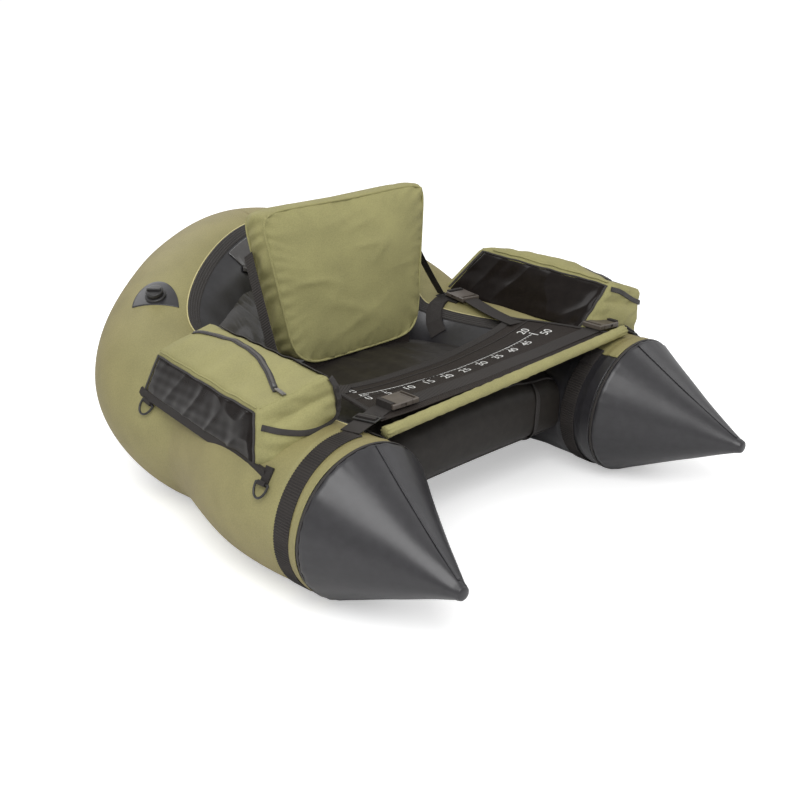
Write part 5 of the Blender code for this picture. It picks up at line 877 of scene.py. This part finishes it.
cube, cube_faces = cube_grid(47)
for side, word in SIDES:
    made = bag_shape(side, cube)
    faces = cube_faces if side > 0 else [face[::-1] for face in cube_faces]
    body = add_mesh(f"{word}_bag", made, faces, wall_uvs(made, faces), OLIVE, "tube")
    for face, where in ((1, "outer"), (-1, "inner")):
        b, c = np.linspace(-0.93, 0.90, 120)[:, None], np.linspace(-0.72, 0.86, 60)[None, :]
        rim = np.minimum(np.minimum(b + 0.93, 0.90 - b) / 0.04, np.minimum(c + 0.72, 0.86 - c) / 0.08)
        lift = (0.0022 + crumple(b, c, 81 + face + 3 * side)) * np.clip(rim, 0, 1) - 0.001
        grid = bag(side, face, b, c)
        grid[..., 0] += side * face * lift
        add_grid(f"{word}_bag_{where}_panel", grid, GLOSS, flip=side * face > 0, thick=SHELL)
        upright = np.linspace(-0.70, 0.88, 40)
        for name, b, c, wide in (("top", np.linspace(-0.93, 0.90, 80), 0.87, 0.004),
                                 ("front", -0.94, upright, 0.006), ("rear", 0.91, upright, 0.006)):
            spots = bag(side, face, b, c)
            spots[:, 0] += side * face * 0.0012
            add_strip(f"{word}_bag_{where}_trim_{name}", spots, (side * face, 0.0, 0.35), wide, 0.0024, TAPE,
                      corner=0.5)
    inner_width, inner_look = (0.013, TAPE) if side < 0 else (0.004, OLIVE)
    across = np.linspace(-0.90, 0.90, 50)
    for name, a, b, c, wide, look in (
            ("inner_edge", -0.97, np.linspace(-0.92, 0.80, 90), 0.985, inner_width, inner_look),
            ("outer_edge", 0.95, np.linspace(-0.94, 0.93, 90), 0.97, 0.0030, OLIVE),
            ("front_edge", across, -0.965, 0.965, 0.0032, OLIVE),
            ("rear_edge", across, 0.965, 0.965, 0.0032, OLIVE)):
        add_strip(f"{word}_bag_{name}", bag(side, a, b, c), (side * np.mean(a) * 0.8, 0.0, 1.0), wide, 0.0028,
                  look, corner=0.7)
    turns = np.array(FLAPS[side])
    at = np.linspace(0, len(turns) - 1, 90)
    bent = (np.interp(at, np.arange(len(turns)), turns[:, k]) for k in (0, 1))
    a, c = (np.convolve(np.pad(run, 7, "edge"), np.ones(15) / 15, "valid") for run in bent)
    spots = bag(side, a, -1.0, c) - (0, 0.0006, 0)
    add_strip(f"{word}_bag_flap_trim", spots, (0.0, -1.0, 0.15), 0.011, 0.0028, TAPE, corner=0.4)
    knots = np.array(ZIPS[side])
    b = np.linspace(0.92, knots[-1, 0], 120)
    a = np.polynomial.polynomial.polyval(b, np.polynomial.polynomial.polyfit(knots[:, 0], knots[:, 1], 4))
    spots = bag(side, a, b, 1.0)
    add_strip(f"{word}_bag_zip", spots + (0, 0, 0.0006), UP, 0.014, 0.0022, TAPE, corner=0.4)
    add_strip(f"{word}_bag_zip_coil", spots + (0, 0, 0.0018), UP, 0.0046, 0.0024, COIL, corner=0.8,
              rib=COIL_RIBS)
    add_strip(f"{word}_bag_zip_slider", spots[-9:-3] + (0, 0, 0.0036), UP, 0.008, 0.0034, PLASTIC,
              corner=0.6)


# D-rings: moulded rings with a straight bar in each webbing loop at the bags' feet. Each is a closed
# round wire along a bow and its bar, and swings on the bar.
RING_REACH, RING_HALF, RING_WIRE = 0.026, 0.015, 0.0044
for side, word in SIDES:
    for end, x, y, z, down, along in (
            ("front", 0.5269, -0.26251, 0.2264, (0.52837, -0.04044, -0.84805), (0.07631, 0.99708, 0.0)),
            ("rear", 0.47625, 0.16188, 0.23421, (0.55406, 0.19992, -0.80811), (0.10038, 0.94761, 0.30325))):
        down, along = np.array(down) * (side, 1, 1), np.array(along) * (1, side, side)
        turn = np.linspace(math.pi / 2, -math.pi / 2, 44)
        bow = np.stack([RING_REACH * np.cos(turn)**0.8, RING_HALF * np.sin(turn)], -1)
        bar = np.stack([np.zeros(18), np.linspace(-0.0145, 0.0145, 18)], -1)
        outline = np.concatenate([bow, bar])
        path = np.array([side * x, y, z]) + outline[:, :1] * down + outline[:, 1:] * along
        add_strip(f"{word}_{end}_ring", path, np.cross(down, along), RING_WIRE, RING_WIRE, PLASTIC,
                  f"{word}_{end}_d_ring", corner=1.0, loop=True)


# Cargo deck: two glossy coated sheets behind the seat. The front one hangs from the arms and the
# rear one from the stern; a zip joins them.
DECK_OVER, DECK_X, DECK_FRONT = math.radians(125.0), 0.165, distance_at(0.168)
DECK_THICK, DECK_DROP, DECK_DEEPER = 0.0016, 0.060, 0.010
DECK_FOLD, DECK_CREASE, SKIRT_CREASE = 0.006, 0.007, 0.003


def seam_distance(x):
    """Distance at which the inner seam comes in to x."""
    at = np.linspace(distance_at(0.3138), LENGTH, 200)
    return np.interp(-np.asarray(x, float), -hull(at, DECK_OVER)[:, 0], at)


def zip_line(u, v=0.0, lift=None):
    """The deck's zip line at u across it; v carries it up the stern to the seam. The line hangs round
    the stern's inner side by a parabola of u, and stands free of it in its middle."""
    hang = 1 - u**2
    angle = DECK_OVER + math.radians(53.0) * hang
    rise = np.clip((hang - 0.22) / 0.78, 0, 1)
    free = 0.020 * rise - 0.004 * (1 - rise)
    angle = angle + (math.radians(127.0) - angle) * v
    raised = np.maximum(0.0018, (free - 0.002) * (1 - v) + 0.0018 * v) if lift is None else lift + free
    point = hull(seam_distance(np.abs(u) * DECK_X), angle, raised)
    point[..., 0] *= np.where(u < 0, -1, 1)
    return point


def add_deck(name, grid):
    """A deck sheet: the grid made a thin closed sheet of the deck cloth."""
    add_grid(name, grid, DECK_WITH_PAINTED_SHEEN, thick=DECK_THICK)


u, v = np.linspace(-1, 1, 150)[None, :], np.linspace(0, 1, 90)[:, None]
hang = 1 - u**2
edge = hull(DECK_FRONT + (seam_distance(DECK_X) - DECK_FRONT) * v, DECK_OVER, -0.006)
drop = DECK_DROP + DECK_DEEPER * np.minimum(1, 2 * v)
fold = DECK_FOLD * np.sin(math.pi * v) * np.cos(3 * math.pi * u) * hang
crease = np.abs(folds(u * 1.4, v * 1.1, 91)) * DECK_CREASE * np.sin(math.pi * v) * np.sqrt(hang)
edge_x, edge_y, edge_z = (edge[..., k] for k in range(3))
free = np.stack(np.broadcast_arrays(edge_x * u, edge_y, edge_z - drop * hang + fold + crease), -1)
add_deck("cargo_deck_front", free + (zip_line(u + 0 * v, lift=0.0) - free) * (v**3)[..., None])
u, v = np.linspace(-0.78, 0.78, 130)[None, :], np.linspace(0, 1, 40)[:, None]
skirt = zip_line(u + 0 * v, v + 0 * u)
skirt[..., 1] -= np.abs(folds(u * 0.7, v * 0.25, 93, high=2.5)) * SKIRT_CREASE * np.sin(math.pi * v)
add_deck("cargo_deck_rear", skirt)
spots = zip_line(np.linspace(-0.80, 0.80, 120), lift=0.003)
add_strip("deck_zip", spots, (0.0, -1.0, 0.9), 0.016, 0.0024, TAPE, corner=0.4)
add_strip("deck_zip_coil", spots + (0.0, -0.0012, 0.001), (0.0, -1.0, 0.9), 0.005, 0.0024, COIL, corner=0.8,
          rib=COIL_RIBS)


# Pieces kept from the part: buckles, adjusters, junctions, zip pulls, foot webbing, and what lies
# inside. The last word of a node's name says what it is, and so how it is finished.
FILM = paint("bladder_film", (0.55, 0.56, 0.57), 0.35, CRUMPLED, 8.0, 0.0004)
METAL = paint("aluminium", (0.60, 0.60, 0.61), 0.30, CRUMPLED, 60.0, 0.00003, metal=1.0)
ZINC = paint("zip_pull_metal", (0.20, 0.19, 0.18), 0.35, CRUMPLED, 120.0, 0.00005,
             metal=1.0)
FINISHES = ((FILM, "bladder"), (GREY, "socket tongue"), (PLASTIC, "adjuster ring body cap"), (ZINC, "pull"),
            (WEBBING, "strap band"), (FLAT_WEB, "junction foot"), (METAL, "bar"), (DECK_WITH_PAINTED_SHEEN, "front rear"),
            (OLIVE, "bag cushion sleeve"), (GLOSS, "panel"), (TAPE, "zip"), (APRON_CLOTH, "web apron"),
            (SATIN, "cover cone patch"))
LOOKS = {last: look for look, words in FINISHES for last in words.split()}
for name, piece in NODES.items():
    look = SEAT_CLOTH if name == "seat_cushion" else LOOKS[name.rsplit("_", 1)[-1]]
    piece.data.materials.clear()
    piece.data.materials.append(look)
for _, word in SIDES:
    slack = NODES[f"{word}_bladder"].modifiers.new("Slack", "DISPLACE")
    slack.strength, slack.mid_level = -0.007, 0.0


# Camera: the photo's place and lens, from its turn round the tube, its height over the horizon
# and a slight roll.
AZIMUTH, HEIGHT, ROLL = math.radians(-44.22), math.radians(22.03), math.radians(0.52)
EYE = (-1.6254, -1.7242, 1.1148)
camera = bpy.data.objects.new("camera", bpy.data.cameras.new("camera"))
bpy.context.scene.collection.objects.link(camera)
level = math.cos(HEIGHT)
back = Vector((math.sin(AZIMUTH) * level, -math.cos(AZIMUTH) * level, math.sin(HEIGHT)))
right = Vector((math.cos(AZIMUTH), math.sin(AZIMUTH), 0.0))
up = back.cross(right)
right, up = right * math.cos(ROLL) + up * math.sin(ROLL), up * math.cos(ROLL) - right * math.sin(ROLL)
camera.matrix_world = Matrix.Translation(EYE) @ Matrix((right, up, back)).transposed().to_4x4()
camera.data.lens, camera.data.sensor_width = 53.58, 36.0
bpy.context.scene.camera = camera


# Floor and light: a plain pale floor, a white backdrop, and three broad soft lights. The floor glows
# only for the camera, so that it shows white without lighting the tube.
def add_light(name, place, size, power):
    """A round area light that faces the tube's middle."""
    light = bpy.data.lights.new(name, "AREA")
    light.shape, light.size, light.energy = "DISK", size, power
    holder = bpy.data.objects.new(name, light)
    holder.location = place
    holder.rotation_euler = (Vector((0.0, 0.0, 0.2)) - Vector(place)).to_track_quat("-Z", "Y").to_euler()
    bpy.context.scene.collection.objects.link(holder)
    return holder


bpy.ops.mesh.primitive_plane_add(size=40.0, location=(0.0, 0.0, -0.0005))
floor = bpy.context.object
floor.name = "floor"
pale = paint("floor", (0.90, 0.90, 0.90), 0.9)
tree = pale.node_tree
shader = tree.nodes["Principled BSDF"]
shader.inputs["Emission Color"].default_value = (1.0, 1.0, 1.0, 1.0)
glow = reckon(tree, "MULTIPLY", node(tree, "LightPath").outputs["Is Camera Ray"], 0.42)
tree.links.new(glow, shader.inputs["Emission Strength"])
floor.data.materials.append(pale)
lights = [add_light("key", (-1.6, -1.4, 2.6), 2.4, 58.0), add_light("fill", (2.2, -1.6, 2.0), 2.0, 14.0),
          add_light("rear", (0.4, 2.4, 2.2), 2.2, 26.0)]
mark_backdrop(floor, *lights)
world = bpy.data.worlds.new("studio")
bpy.context.scene.world = world
world.use_nodes = True
tree = world.node_tree
shade = tree.nodes["Background"]
rays = node(tree, "LightPath").outputs
seen = reckon(tree, "MAXIMUM", rays["Is Camera Ray"], rays["Is Transmission Ray"])
shade.inputs["Color"].default_value = (1.0, 1.0, 1.0, 1.0)
tree.links.new(remap(tree, seen, 0.0, 1.0, 0.68, 1.0), shade.inputs["Strength"])
bpy.context.scene.view_settings.view_transform = "Standard"
low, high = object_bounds()
